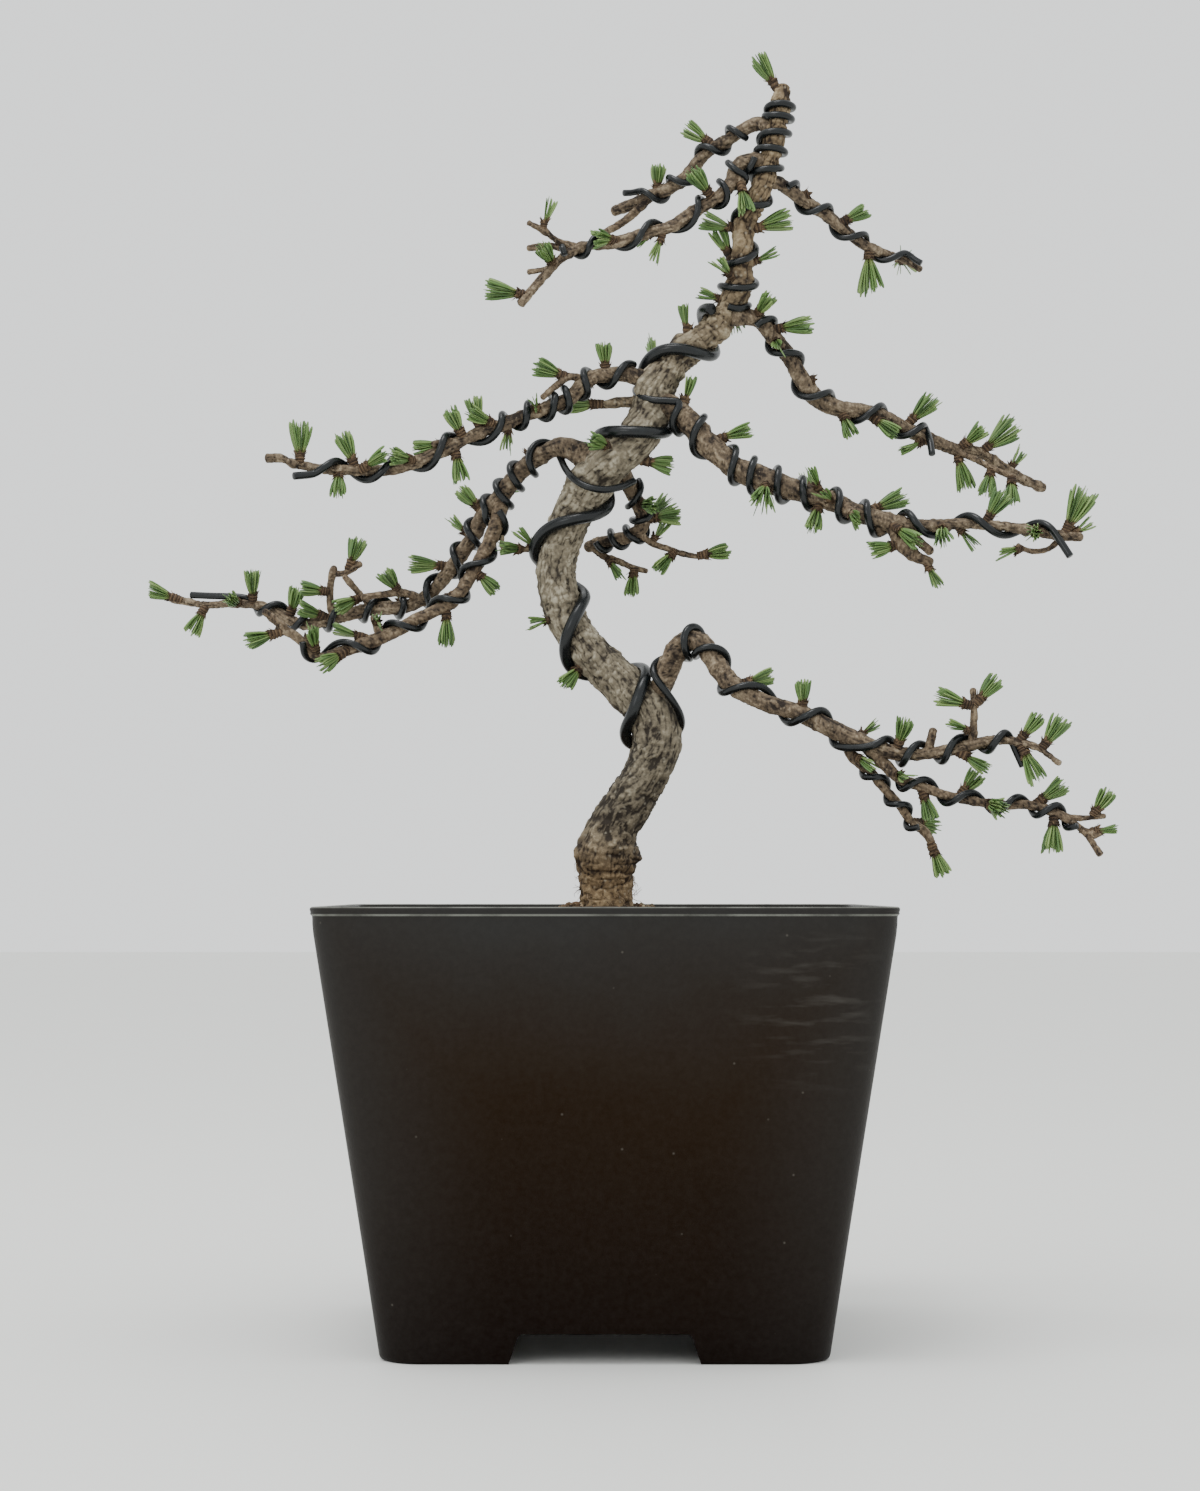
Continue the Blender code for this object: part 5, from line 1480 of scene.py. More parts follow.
@dataclass(frozen=True)
class BarkRelief:
    """Sizes of the relief of a limb's bark, in metres: how high each form is, and how large."""

    lump: float
    lump_size: float
    furrow: float
    furrow_width: float
    furrow_length: float
    flake: float
    flake_size: float
    ring: float
    ring_gap: float
    old_ring: float = 0.0

    def height(self, around: Array, along: Array, radius: Array, age: Array,
               seed: int) -> tuple[Array, Array]:
        """How far the bark stands out, and how deep in a crack each point is.

        Args:
            around: Angles round the limb.
            along: Lengths along it.
            radius: The limb's radii.
            age: How old the bark is, from 0 to 1.
            seed: Which noise field is read.

        Returns:
            The heights in metres, and the relief from 0 in a crack to 1 on a crest.
        """
        x, y = np.cos(around) * radius, np.sin(around) * radius
        z = along + 0.0 * around
        spot = np.stack((x, y, z), -1)
        lumps = layered_noise(spot / self.lump_size, seed)
        warp = layered_noise(spot / (self.furrow_width * 4), seed + 5)[..., None]
        drawn = np.stack((x, y, z * self.furrow_width / self.furrow_length), -1)
        lines = value_noise(drawn / self.furrow_width + warp * 1.3, seed + 11)
        furrows = -np.exp(-((lines / 0.16) ** 2))
        flakes = layered_noise(spot / self.flake_size + warp, seed + 23)
        flat = np.stack((x, y, z * 5.0), -1) / (self.ring_gap * 5.0)
        cross = value_noise(flat + warp * 0.4, seed + 31)
        rings = -np.exp(-((cross / 0.14) ** 2))
        ringed = self.ring + self.old_ring * age
        height = (
            self.lump * lumps + self.furrow * (furrows + 0.25) + self.flake * flakes
            + ringed * (rings + 0.2)
        )
        depth = 0.62 + 0.34 * furrows + 0.26 * flakes + 0.30 * rings * (0.35 + 0.65 * age)
        return height, np.clip(depth + 0.12 * lumps, 0.0, 1.0)


@dataclass(frozen=True)
class Knot:
    """A scar, bulge or root crown on a limb: where it is drawn, its size and height in mm."""

    across: float
    down: float
    side: float
    size: float
    height: float


@dataclass(frozen=True)
class LimbSkin:
    """Builds the wood of one limb as a ringed tube with bark relief and a rounded end.

    Between the heights age_low and age_high the bark goes from old to young, in the crown it is
    old again, and under the shaded heights it is darker.
    """

    relief: BarkRelief
    sides: int
    step: float
    bump: float = 0.0
    bump_gap: float = 0.006
    age_low: float = 0.0
    age_high: float = 0.0
    age: float = 0.0
    crown: tuple[float, float] = (0.30, 0.36)
    shaded: tuple[float, float] = (0.195, 0.240)

    def build(self, maker: MeshMaker, limb: Limb, seed: int, knots: Sequence[Knot] = ()) -> None:
        """Adds the limb to a mesh.

        Args:
            maker: The mesh.
            limb: The limb.
            seed: Which noise field its bark reads.
            knots: Its scars and bulges.
        """
        path, radii = eased(limb.centres, limb.radii, self.step)
        cap = np.array((0.35, 0.62, 0.85, 0.97))
        way = unit(path[-1] - path[-2])
        path = np.vstack((path, path[-1] + way * radii[-1] * cap[:, None] * 0.8))
        radii = np.concatenate((radii, radii[-1] * np.sqrt(1 - cap**2)))
        fronts, sideways = frames_along(path)
        along = along_path(path)[:, None]
        around = round_angles(self.sides)[None]
        radius = radii[:, None]
        age = np.full(radius.shape, self.age)
        if self.age_high:
            age = 1.0 - smoothstep(self.age_low, self.age_high, path[:, 2:3])
            age = np.maximum(age, 0.75 * smoothstep(*self.crown, path[:, 2:3]))
        height, depth = self.relief.height(around, along, np.maximum(radius, 5e-4), age, seed)
        if self.age_high:
            low = 1.0 - smoothstep(*self.shaded, path[:, 2:3])
            depth = depth - 0.15 * low * (1.0 - age)
        if self.bump:
            lumps = value_noise(np.stack((along[:, 0] / self.bump_gap,) * 3, -1), seed + 41)
            height += self.bump * np.maximum(lumps, 0.0)[:, None] ** 2
        for knot in knots:
            self._knot(height, limb, knot, around, along)
        spread = radius + height * np.clip(radius / radii[-5], 0.0, 1.0)
        rings = hoops(path, fronts, sideways, spread, around[0])
        shift = value_noise(rings / 0.004, seed + 61) * 0.5 + 0.5
        tint = np.stack((depth, age + 0 * depth, shift, 1.0 + 0 * depth), -1)
        maker.add_rings(rings, tint)

    @staticmethod
    def _knot(height: Array, limb: Limb, knot: Knot, around: Array,
              along: Array) -> None:
        """Raises a knot.

        Args:
            height: The heights that it is added to.
            limb: The limb.
            knot: The knot.
            around: Angles round the limb.
            along: Lengths along it.
        """
        place, _ = limb.nearest(knot.across, knot.down)
        size = MM * knot.size
        turn = np.angle(np.exp(1j * (around - knot.side))) * limb.at(place)[1]
        height += MM * knot.height * np.exp(-(((along - place) / size) ** 2) - (turn / size) ** 2)


@dataclass(frozen=True)
class Tuft:
    """A short shoot in full detail: a ringed spur, papery bud scales and a fan of needles."""

    spur_sides: int = 12
    spur_rings: int = 16
    scale_count: int = 9
    scale_length: float = 0.0019
    scale_thick: float = 0.00009
    full_needles: int = 28
    thin_needles: int = 11
    needle_width: float = 0.00108
    needle_depth: float = 0.00032
    needle_shares: tuple[float, ...] = (0.0, 0.2, 0.45, 0.7, 0.92, 1.0)
    bow: float = 0.0004
    sunk: float = 0.36
    golden: float = 0.381966

    def neck(self, shoot: Shoot) -> Array:
        """Where the needles leave the spur."""
        bare = np.linalg.norm(shoot.end - shoot.root) - shoot.wood
        return shoot.end - shoot.heading * self.sunk * bare

    def spur(self, maker: MeshMaker, shoot: Shoot, rng: Random) -> None:
        """Adds the spur and its bud scales to a mesh.

        Args:
            maker: The mesh.
            shoot: The shoot.
            rng: The stem's seeded random source.
        """
        start = shoot.root + shoot.heading * shoot.wood * 0.2
        front, side = across_axes(shoot.heading)
        length = np.linalg.norm(self.neck(shoot) - start)
        shares = np.linspace(0.0, 1.0, self.spur_rings)
        around = round_angles(self.spur_sides)
        saw = (shares * self.spur_rings / 4.0 + rng.random()) % 1.0
        radius = shoot.radius * (0.74 + 0.20 * shares + 0.10 * saw)
        radius[-2:] *= (0.86, 0.45)
        radius = radius[:, None] * (1 + 0.10 * np.sin(around * 3 + rng.random() * 6)[None])
        jitter = np.array([[rng.uniform(0.86, 1.12) for _ in around] for _ in shares])
        centres = start + shoot.heading * (shares * length)[:, None]
        rings = hoops(centres, front, side, radius * jitter, around)
        tint = np.zeros((*rings.shape[:2], 4))
        tint[..., 0] = (0.25 + 0.7 * saw)[:, None] * jitter
        tint[..., 1] = 0.25
        tint[..., 2] = rng.random()
        maker.add_rings(rings, tint)
        for index in range(self.scale_count):
            self._scale(maker, shoot, front, side, rng, index)

    def _scale(self, maker: MeshMaker, shoot: Shoot, front: Array, side: Array,
               rng: Random, index: int) -> None:
        """Adds one papery bud scale.

        Args:
            maker: The mesh.
            shoot: The shoot.
            front: One direction square to the spur.
            side: The other.
            rng: The stem's seeded random source.
            index: Which of the scales it is.
        """
        angle = 2 * math.pi * (index + rng.uniform(-0.3, 0.3)) / self.scale_count
        out = math.cos(angle) * front + math.sin(angle) * side
        flat = np.cross(shoot.heading, out)
        low = rng.uniform(0.2, 1.0)
        root = self.neck(shoot) - shoot.heading * shoot.radius * low + out * shoot.radius * 0.72
        lean = rng.uniform(0.25, 0.75)
        way = unit(shoot.heading + out * lean)
        length = self.scale_length * rng.uniform(0.6, 1.0)
        thin = out * self.scale_thick
        rings = []
        for share, wide in ((0.0, 1.0), (0.45, 0.85), (0.8, 0.45), (1.0, 0.05)):
            centre = root + way * length * share + out * 0.0003 * share**2
            half = flat * shoot.radius * 0.34 * wide
            rings.append([centre + a * half + b * thin
                          for a, b in ((-1, -1), (1, -1), (1, 1), (-1, 1))])
        shade = rng.uniform(0.35, 0.95)
        maker.add_rings(np.array(rings), (shade, 0.5, rng.random(), 1.0))

    def needles(self, maker: MeshMaker, shoot: Shoot, rng: Random) -> None:
        """Adds the needles, spread over the outline that the frame's needles give.

        Args:
            maker: The mesh.
            shoot: The shoot.
            rng: The stem's seeded random source.
        """
        if shoot.kind is ShootKind.BUD:
            return
        count = self.full_needles if shoot.kind is ShootKind.FULL else self.thin_needles
        ring = shoot.tips[1:]
        for index in range(count):
            turn = (index * self.golden + rng.uniform(-0.04, 0.04)) % 1.0 * len(ring)
            low = int(turn) % len(ring)
            pair = [ring[low], ring[(low + 1) % len(ring)]]
            held = [tip for tip in pair if tip is not None]
            share = math.sqrt((index + 0.5) / count) * rng.uniform(0.9, 1.05)
            if not held:
                held, share = [shoot.tips[0]], 0.0
            edge = held[0]
            if len(held) == 2:
                part = turn - int(turn)
                edge = held[0] * (1 - part) + held[1] * part
            tip = shoot.tips[0] * (1 - share) + edge * share
            self._needle(maker, shoot, tip, share, rng)

    def _needle(self, maker: MeshMaker, shoot: Shoot, tip: Array, share: float,
                rng: Random) -> None:
        """Adds one flat needle that bows a little outward.

        Args:
            maker: The mesh.
            shoot: The shoot.
            tip: Where it is to end.
            share: How far from the middle of the fan it stands, from 0 to about 1.
            rng: The stem's seeded random source.
        """
        neck = self.neck(shoot)
        reach = tip - neck
        out = reach - shoot.heading * reach.dot(shoot.heading)
        wide = np.linalg.norm(out)
        out = out / wide if wide > 1e-5 else across_axes(shoot.heading)[0]
        root = neck - shoot.heading * 0.0006 + out * shoot.radius * 0.5 * min(share, 1.0)
        way = np.clip(root + (tip - root) * rng.uniform(0.88, 1.14), *ROOM) - root
        flat = unit(np.cross(way, out) + shoot.heading * rng.uniform(-0.2, 0.2)
                    + out * rng.uniform(-0.5, 0.5))
        flat = unit(flat - unit(way) * flat.dot(unit(way)))
        thick = np.cross(unit(way), flat)
        bow = self.bow * rng.uniform(-0.2, 1.2)
        width = self.needle_width * rng.uniform(0.85, 1.12)
        rings = []
        for part in self.needle_shares:
            swell = min(1.0, 0.55 + 1.8 * part) * min(1.0, 0.42 + 5.0 * (1 - part))
            centre = root + way * part + out * bow * math.sin(math.pi * part * 0.9)
            a, b = flat * width / 2 * swell, thick * self.needle_depth / 2 * swell
            rings.append([centre - a, centre - b, centre + a, centre + b])
        tint = np.zeros((len(rings), 4, 4))
        tint[..., 0] = np.array(self.needle_shares)[:, None]
        tint[..., 1] = rng.random()
        tint[..., 2] = rng.random()
        maker.add_rings(np.array(rings), tint)


@dataclass
class Finishes:
    """Every material of the part, made once."""

    effects: Effects = field(default_factory=Effects)

    def __post_init__(self) -> None:
        """Makes the materials."""
        self.pot = PotPlastic().make(self.effects)
        self.soil = SoilMix().make(self.effects)
        self.trunk = Bark(
            "trunk_bark", (paint(44, 38, 31), paint(124, 115, 97), paint(184, 177, 157)),
            (paint(46, 34, 24), paint(122, 102, 75), paint(178, 158, 124)),
        ).make(self.effects)
        self.twig = Bark(
            "twig_bark", (paint(36, 29, 23), paint(106, 93, 76), paint(170, 156, 133)),
            (paint(38, 28, 21), paint(104, 85, 65), paint(160, 139, 110)), 1.5, 0.8,
        ).make(self.effects)
        self.spur = Bark(
            "spur_scales", (paint(26, 19, 14), paint(60, 46, 34), paint(108, 88, 66)),
            (paint(32, 23, 16), paint(74, 56, 40), paint(126, 104, 78)), 2.0, 0.82,
        ).make(self.effects)
        self.needles = NeedleGreen().make(self.effects)
        self.wire = WireCoat().make(self.effects)
        self.table = TablePaint().make(self.effects)


def settle(piece: Object, slot: Slot, *nodes: str) -> Object:
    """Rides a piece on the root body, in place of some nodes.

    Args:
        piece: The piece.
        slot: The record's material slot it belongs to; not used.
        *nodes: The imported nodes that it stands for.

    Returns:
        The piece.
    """
    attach(piece, ROOT_BODY)
    if nodes:
        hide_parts(*nodes)
    LOG.info("%s: %d faces", piece.name, len(piece.data.polygons))
    return piece


@dataclass
class Stem:
    """One stem of the tree: its wood, its spurs and its needles."""

    name: str
    limbs: list[Limb]
    shoots: list[Shoot]
    seed: int
    main_skin: LimbSkin = LimbSkin(
        BarkRelief(0.00035, 0.0045, 0.00026, 0.0009, 0.0075, 0.00022, 0.0011, 0.00010, 0.0014),
        32, 0.0005, 0.0005, 0.0050, age=0.25,
    )
    side_skin: LimbSkin = LimbSkin(
        BarkRelief(0.00018, 0.003, 0.00014, 0.0008, 0.0055, 0.00012, 0.0009, 0.00008, 0.0012),
        18, 0.0005, 0.0004, 0.0042, age=0.45,
    )
    tuft: Tuft = Tuft()

    def wood_maker(self) -> MeshMaker:
        """The wood of every limb, gathered."""
        maker = MeshMaker()
        for number, limb in enumerate(self.limbs):
            skin = self.side_skin if number else self.main_skin
            skin.build(maker, limb, self.seed * 17 + number)
        return maker

    def build(self, finishes: Finishes) -> None:
        """Builds the stem's pieces and dresses them.

        Args:
            finishes: The materials.
        """
        rng = Random(self.seed)
        bark = finishes.trunk if self.name == "trunk" else finishes.twig
        settle(self.wood_maker().build(self.name + "_wood", bark), Slot.BARK, self.name)
        spurs, needles = MeshMaker(), MeshMaker()
        for shoot in self.shoots:
            self.tuft.spur(spurs, shoot, rng)
            self.tuft.needles(needles, shoot, rng)
        settle(spurs.build(self.name + "_spurs", finishes.spur), Slot.BARK, self.name)
        settle(needles.build(self.name + "_needles", finishes.needles), Slot.SHOOTS, self.name)


@dataclass
class Trunk(Stem):
    """The trunk, with its scars, its old bark at the foot and fine roots there."""

    trunk_skin: LimbSkin = LimbSkin(
        BarkRelief(0.0006, 0.006, 0.0002, 0.0012, 0.006, 0.00048, 0.0019, 0.00034, 0.0019, 0.0003),
        112, 0.0005, age_low=0.150, age_high=0.174,
    )
    knots: str = """607,853,1.5,3.4,1.2 607,850,-1.3,4,1 596,838,0.2,3,1 640,792,-0.5,2.8,0.8
    652,716,0.5,4.2,1.2 628,690,-1.4,2.6,0.9 601,664,1.7,2.4,1 562,600,0.4,2.2,0.6
    560,548,-0.6,2.4,0.7 590,486,-1.5,4,1.2 609,462,0.3,2.6,0.8 648,416,1.2,3,1
    657,390,-1.3,4.2,1.4 690,350,-1.6,3.2,1.4 716,326,1,3,1 739,285,0.2,3,0.8
    764,182,-0.4,2.8,0.8"""

    def wood_maker(self) -> MeshMaker:
        """The wood of the trunk and of the twigs that it carries, gathered."""
        maker = MeshMaker()
        knots = [Knot(*row) for row in rows_of(self.knots)]
        self.trunk_skin.build(maker, self.limbs[0], self.seed, knots)
        for number, limb in enumerate(self.limbs[1:]):
            self.side_skin.build(maker, limb, self.seed * 17 + number)
        return maker


@dataclass
class RootHairs:
    """Fine roots that stand off the foot of the trunk."""

    radius: float = 0.00012
    tip_radius: float = 0.00004
    step: float = 0.0003
    legs: int = 6
    seed: int = 31
    # Across, down, toward in mm, hairs, lean.
    places: str = """582,866,3,7,-1 581,888,2,8,-1 583,878,5,4,-0.8 632,884,3,6,1 630,896,6,5,0.7
    590,897,8,6,-0.5 606,899,8.6,6,0.1 618,896,8,5,0.4 602,897,-8,6,0 622,890,-6,5,0.6"""

    def build(self, finishes: Finishes) -> None:
        """Builds the roots as one piece.

        Args:
            finishes: The materials.
        """
        rng = Random(self.seed)
        maker = MeshMaker()
        for across, down, toward, hairs, lean in rows_of(self.places):
            for _ in range(int(hairs)):
                point = SIGHT.place(
                    across + rng.uniform(-3, 3), down + rng.uniform(-4, 4), MM * toward
                )
                way = unit(np.array((lean, -0.3 * np.sign(toward), rng.uniform(-0.9, 0.5))))
                path = [point]
                for _ in range(self.legs):
                    swerve = [rng.uniform(-0.6, 0.6) for _ in range(3)]
                    way = unit(way + np.array(swerve) + (0, 0, -0.12))
                    path.append(path[-1] + way * rng.uniform(0.0004, 0.0009))
                radii = np.linspace(self.radius, self.tip_radius, len(path))
                points, radii = eased(np.array(path), radii, self.step)
                rings = hoops(points, *frames_along(points), radii, round_angles(5))
                maker.add_rings(rings, (rng.uniform(0.4, 0.9), 0.9, rng.random(), 1.0))
        settle(maker.build("trunk_root_hairs", finishes.twig), Slot.BARK, "trunk")


@dataclass
class TrainingWire:
    """One training wire, round and smooth, with its cut ends slightly rounded."""

    name: str
    run: Array
    radius: float
    sides: int = 14
    step: float = 0.0007
    calm: int = 3
    # How far past the cut each ring of a rounded end stands, and how wide it is, in radii.
    caps: tuple[tuple[float, float], ...] = ((0.10, 0.94), (0.16, 0.80), (0.18, 0.0))

    def build(self, finishes: Finishes) -> None:
        """Builds the wire and dresses it.

        Args:
            finishes: The materials.
        """
        run = self.run
        for _ in range(self.calm):
            middle = (run[:-2] + run[2:]) / 2
            run = np.vstack((run[:1], run[1:-1] * 0.6 + middle * 0.4, run[-1:]))
        points, radii = eased(run, np.full(len(run), self.radius), self.step)
        start, end = unit(points[0] - points[1]), unit(points[-1] - points[-2])
        head = [points[0] + start * self.radius * off for off, _ in reversed(self.caps)]
        tail = [points[-1] + end * self.radius * off for off, _ in self.caps]
        shrink = [self.radius * share for _, share in self.caps]
        radii = np.concatenate((shrink[::-1], radii, shrink))
        points = np.vstack((head, points, tail))
        around = round_angles(self.sides)
        rings = hoops(points, *frames_along(points), np.maximum(radii, 2e-5), around)
        maker = MeshMaker()
        maker.add_rings(rings)
        settle(maker.build(self.name + "_round", finishes.wire), Slot.WIRE, self.name)


@dataclass
class Pot:
    """The tapered square pot, with a lip, four corner feet and drain holes."""

    top_side: float = 0.1815
    base_side: float = 0.1415
    height: float = 0.142
    wall: float = 0.0028
    corner_top: float = 0.011
    corner_base: float = 0.014
    lip_height: float = 0.0024
    lip_step: float = 0.0004
    floor_underside: float = 0.0096
    floor_top: float = 0.0126
    foot_wall: float = 0.0060
    notch_base: float = 0.0610
    notch_top: float = 0.0536
    drain_radius: float = 0.0055
    drain_offset: float = 0.034
    warp: float = 0.00035
    corner_steps: int = 12
    side_steps: int = 16

    def side(self, height: float) -> float:
        """Width of the pot at a height."""
        return self.base_side + (self.top_side - self.base_side) * height / self.height

    def corner(self, height: float) -> float:
        """Radius of its upright edges at a height."""
        return self.corner_base + (self.corner_top - self.corner_base) * height / self.height

    def ring(self, side: float, corner: float, height: float) -> Array:
        """Points round a square with rounded corners.

        Args:
            side: The square's width.
            corner: The radius of its corners.
            height: How high it lies.

        Returns:
            The points, counter-clockwise from the right.
        """
        points = []
        straight = side / 2 - corner
        for quarter in range(4):
            middle = math.pi / 4 + quarter * math.pi / 2
            x = straight * math.copysign(1, math.cos(middle))
            y = straight * math.copysign(1, math.sin(middle))
            for i in range(self.corner_steps + 1):
                angle = quarter * math.pi / 2 + i * math.pi / 2 / self.corner_steps
                points.append((x + corner * math.cos(angle), y + corner * math.sin(angle)))
            last = np.array(points[-1])
            turn = math.pi / 2 * (quarter + 1)
            onward = np.array((-math.sin(turn), math.cos(turn)))
            for i in range(1, self.side_steps):
                points.append(tuple(last + onward * 2 * straight * i / self.side_steps))
        flat = np.array(points)
        return np.column_stack((flat, np.full(len(flat), height)))

    def rings(self) -> Array:
        """The rings of the wall, from the foot up the outside and down the inside."""
        lip = self.height - self.lip_height
        rows = [(0.0, 0.0011, -0.0006), (0.0003, 0.0005, -0.0003), (0.0008, 0.0001, 0.0)]
        rows += [(z, 0.0, 0.0) for z in np.linspace(0.0016, lip - 0.006, 26)]
        step = self.lip_step
        rows += [
            (lip - 0.003, step * 0.4, 0.0), (lip - 0.0011, step, 0.0), (lip - 0.0004, step, 0.0),
            (lip - 0.0001, step * 0.35, 0.0), (lip + 0.0001, 0.0, 0.0), (lip + 0.0004, 0.0, 0.0),
            (lip + 0.0006, step * 0.4, 0.0), (lip + 0.0009, step * 0.35, 0.0),
            (self.height - 0.0009, 0.00005, 0.0), (self.height - 0.0005, 0.00015, 0.0),
            (self.height - 0.00018, 0.00042, 0.0), (self.height, 0.0008, 0.0),
            (self.height, self.wall - 0.0006, -0.0014),
            (self.height - 0.00015, self.wall - 0.0002, -0.0016),
            (self.height - 0.0006, self.wall, -0.0017),
        ]
        inner = np.linspace(self.height - 0.004, self.floor_top, 12)
        rows += [(z, self.wall, -0.0018) for z in inner]
        return np.array([
            self.ring(self.side(z) - 2 * inset, self.corner(z) + shift, z)
            for z, inset, shift in rows
        ])

    def bowed(self, rings: Array) -> Array:
        """The walls drawn in a little between the corners, as moulded walls are.

        Args:
            rings: The rings of the wall.

        Returns:
            The rings, drawn in.
        """
        share = rings[..., 2:3] / self.height
        spread = np.abs(rings[..., :2]) / (self.side(0.07) / 2)
        across = np.clip(1 - spread[..., ::-1] ** 2, 0, 1)
        pull = self.warp * across * np.sin(math.pi * np.clip(share, 0, 1))
        rings = rings.copy()
        rings[..., :2] -= np.sign(rings[..., :2]) * pull * (spread > 0.5)
        return rings

    @staticmethod
    def cutter(name: str, rings: Sequence) -> Object:
        """A solid through some rings, to cut the pot with."""
        maker = MeshMaker()
        maker.add_rings(np.array(rings))
        return maker.build(name, None)

    def cutters(self) -> list[Object]:
        """What is cut from under the pot: the pocket between its feet, notches and drains."""
        width = self.base_side - 2 * self.foot_wall
        levels = (-0.002, self.floor_underside)
        found = [self.cutter("pocket", [self.ring(width, 0.006, z) for z in levels])]
        for turn in (0, 1):
            rings = []
            for along in (-self.base_side, self.base_side):
                low, high = self.notch_base / 2, self.notch_top / 2
                bend = 0.0008
                shape = (
                    (-low, -0.002), (low, -0.002), (high + bend * 0.3, self.floor_underside - bend),
                    (high - bend, self.floor_underside), (-high + bend, self.floor_underside),
                    (-high - bend * 0.3, self.floor_underside - bend),
                )
                rings.append([(along, x, z) if turn else (x, -along, z) for x, z in shape])
            found.append(self.cutter(f"notch_{turn}", rings))
        around = round_angles(32)
        for x, y in itertools.product((-self.drain_offset, self.drain_offset), repeat=2):
            circle = np.column_stack((x + self.drain_radius * np.cos(around),
                                      y + self.drain_radius * np.sin(around), 0 * around))
            found.append(self.cutter("drain", [circle + (0, 0, z) for z in (0.004, 0.02)]))
        return found

    def build(self, finishes: Finishes) -> None:
        """Builds the pot, cuts its feet, rounds the cut edges and dresses it.

        Args:
            finishes: The materials.
        """
        maker = MeshMaker()
        maker.add_rings(self.bowed(self.rings()))
        pot = maker.build("pot_moulding", finishes.pot)
        cutters = self.cutters()
        for cutter in cutters:
            cut = pot.modifiers.new(cutter.name, "BOOLEAN")
            cut.operation = "DIFFERENCE"
            cut.object = cutter
        bevel = pot.modifiers.new("soft_edges", "BEVEL")
        bevel.width = 0.0005
        bevel.segments = 2
        bevel.limit_method = "ANGLE"
        bevel.angle_limit = math.radians(40)
        graph = bpy.context.evaluated_depsgraph_get()
        mesh = bpy.data.meshes.new_from_object(pot.evaluated_get(graph))
        pot.modifiers.clear()
        pot.data = mesh
        for cutter in cutters:
            bpy.data.objects.remove(cutter, do_unlink=True)
        mesh.shade_smooth()
        mesh.set_sharp_from_angle(angle=math.radians(32))
        settle(pot, Slot.POT, "pot")


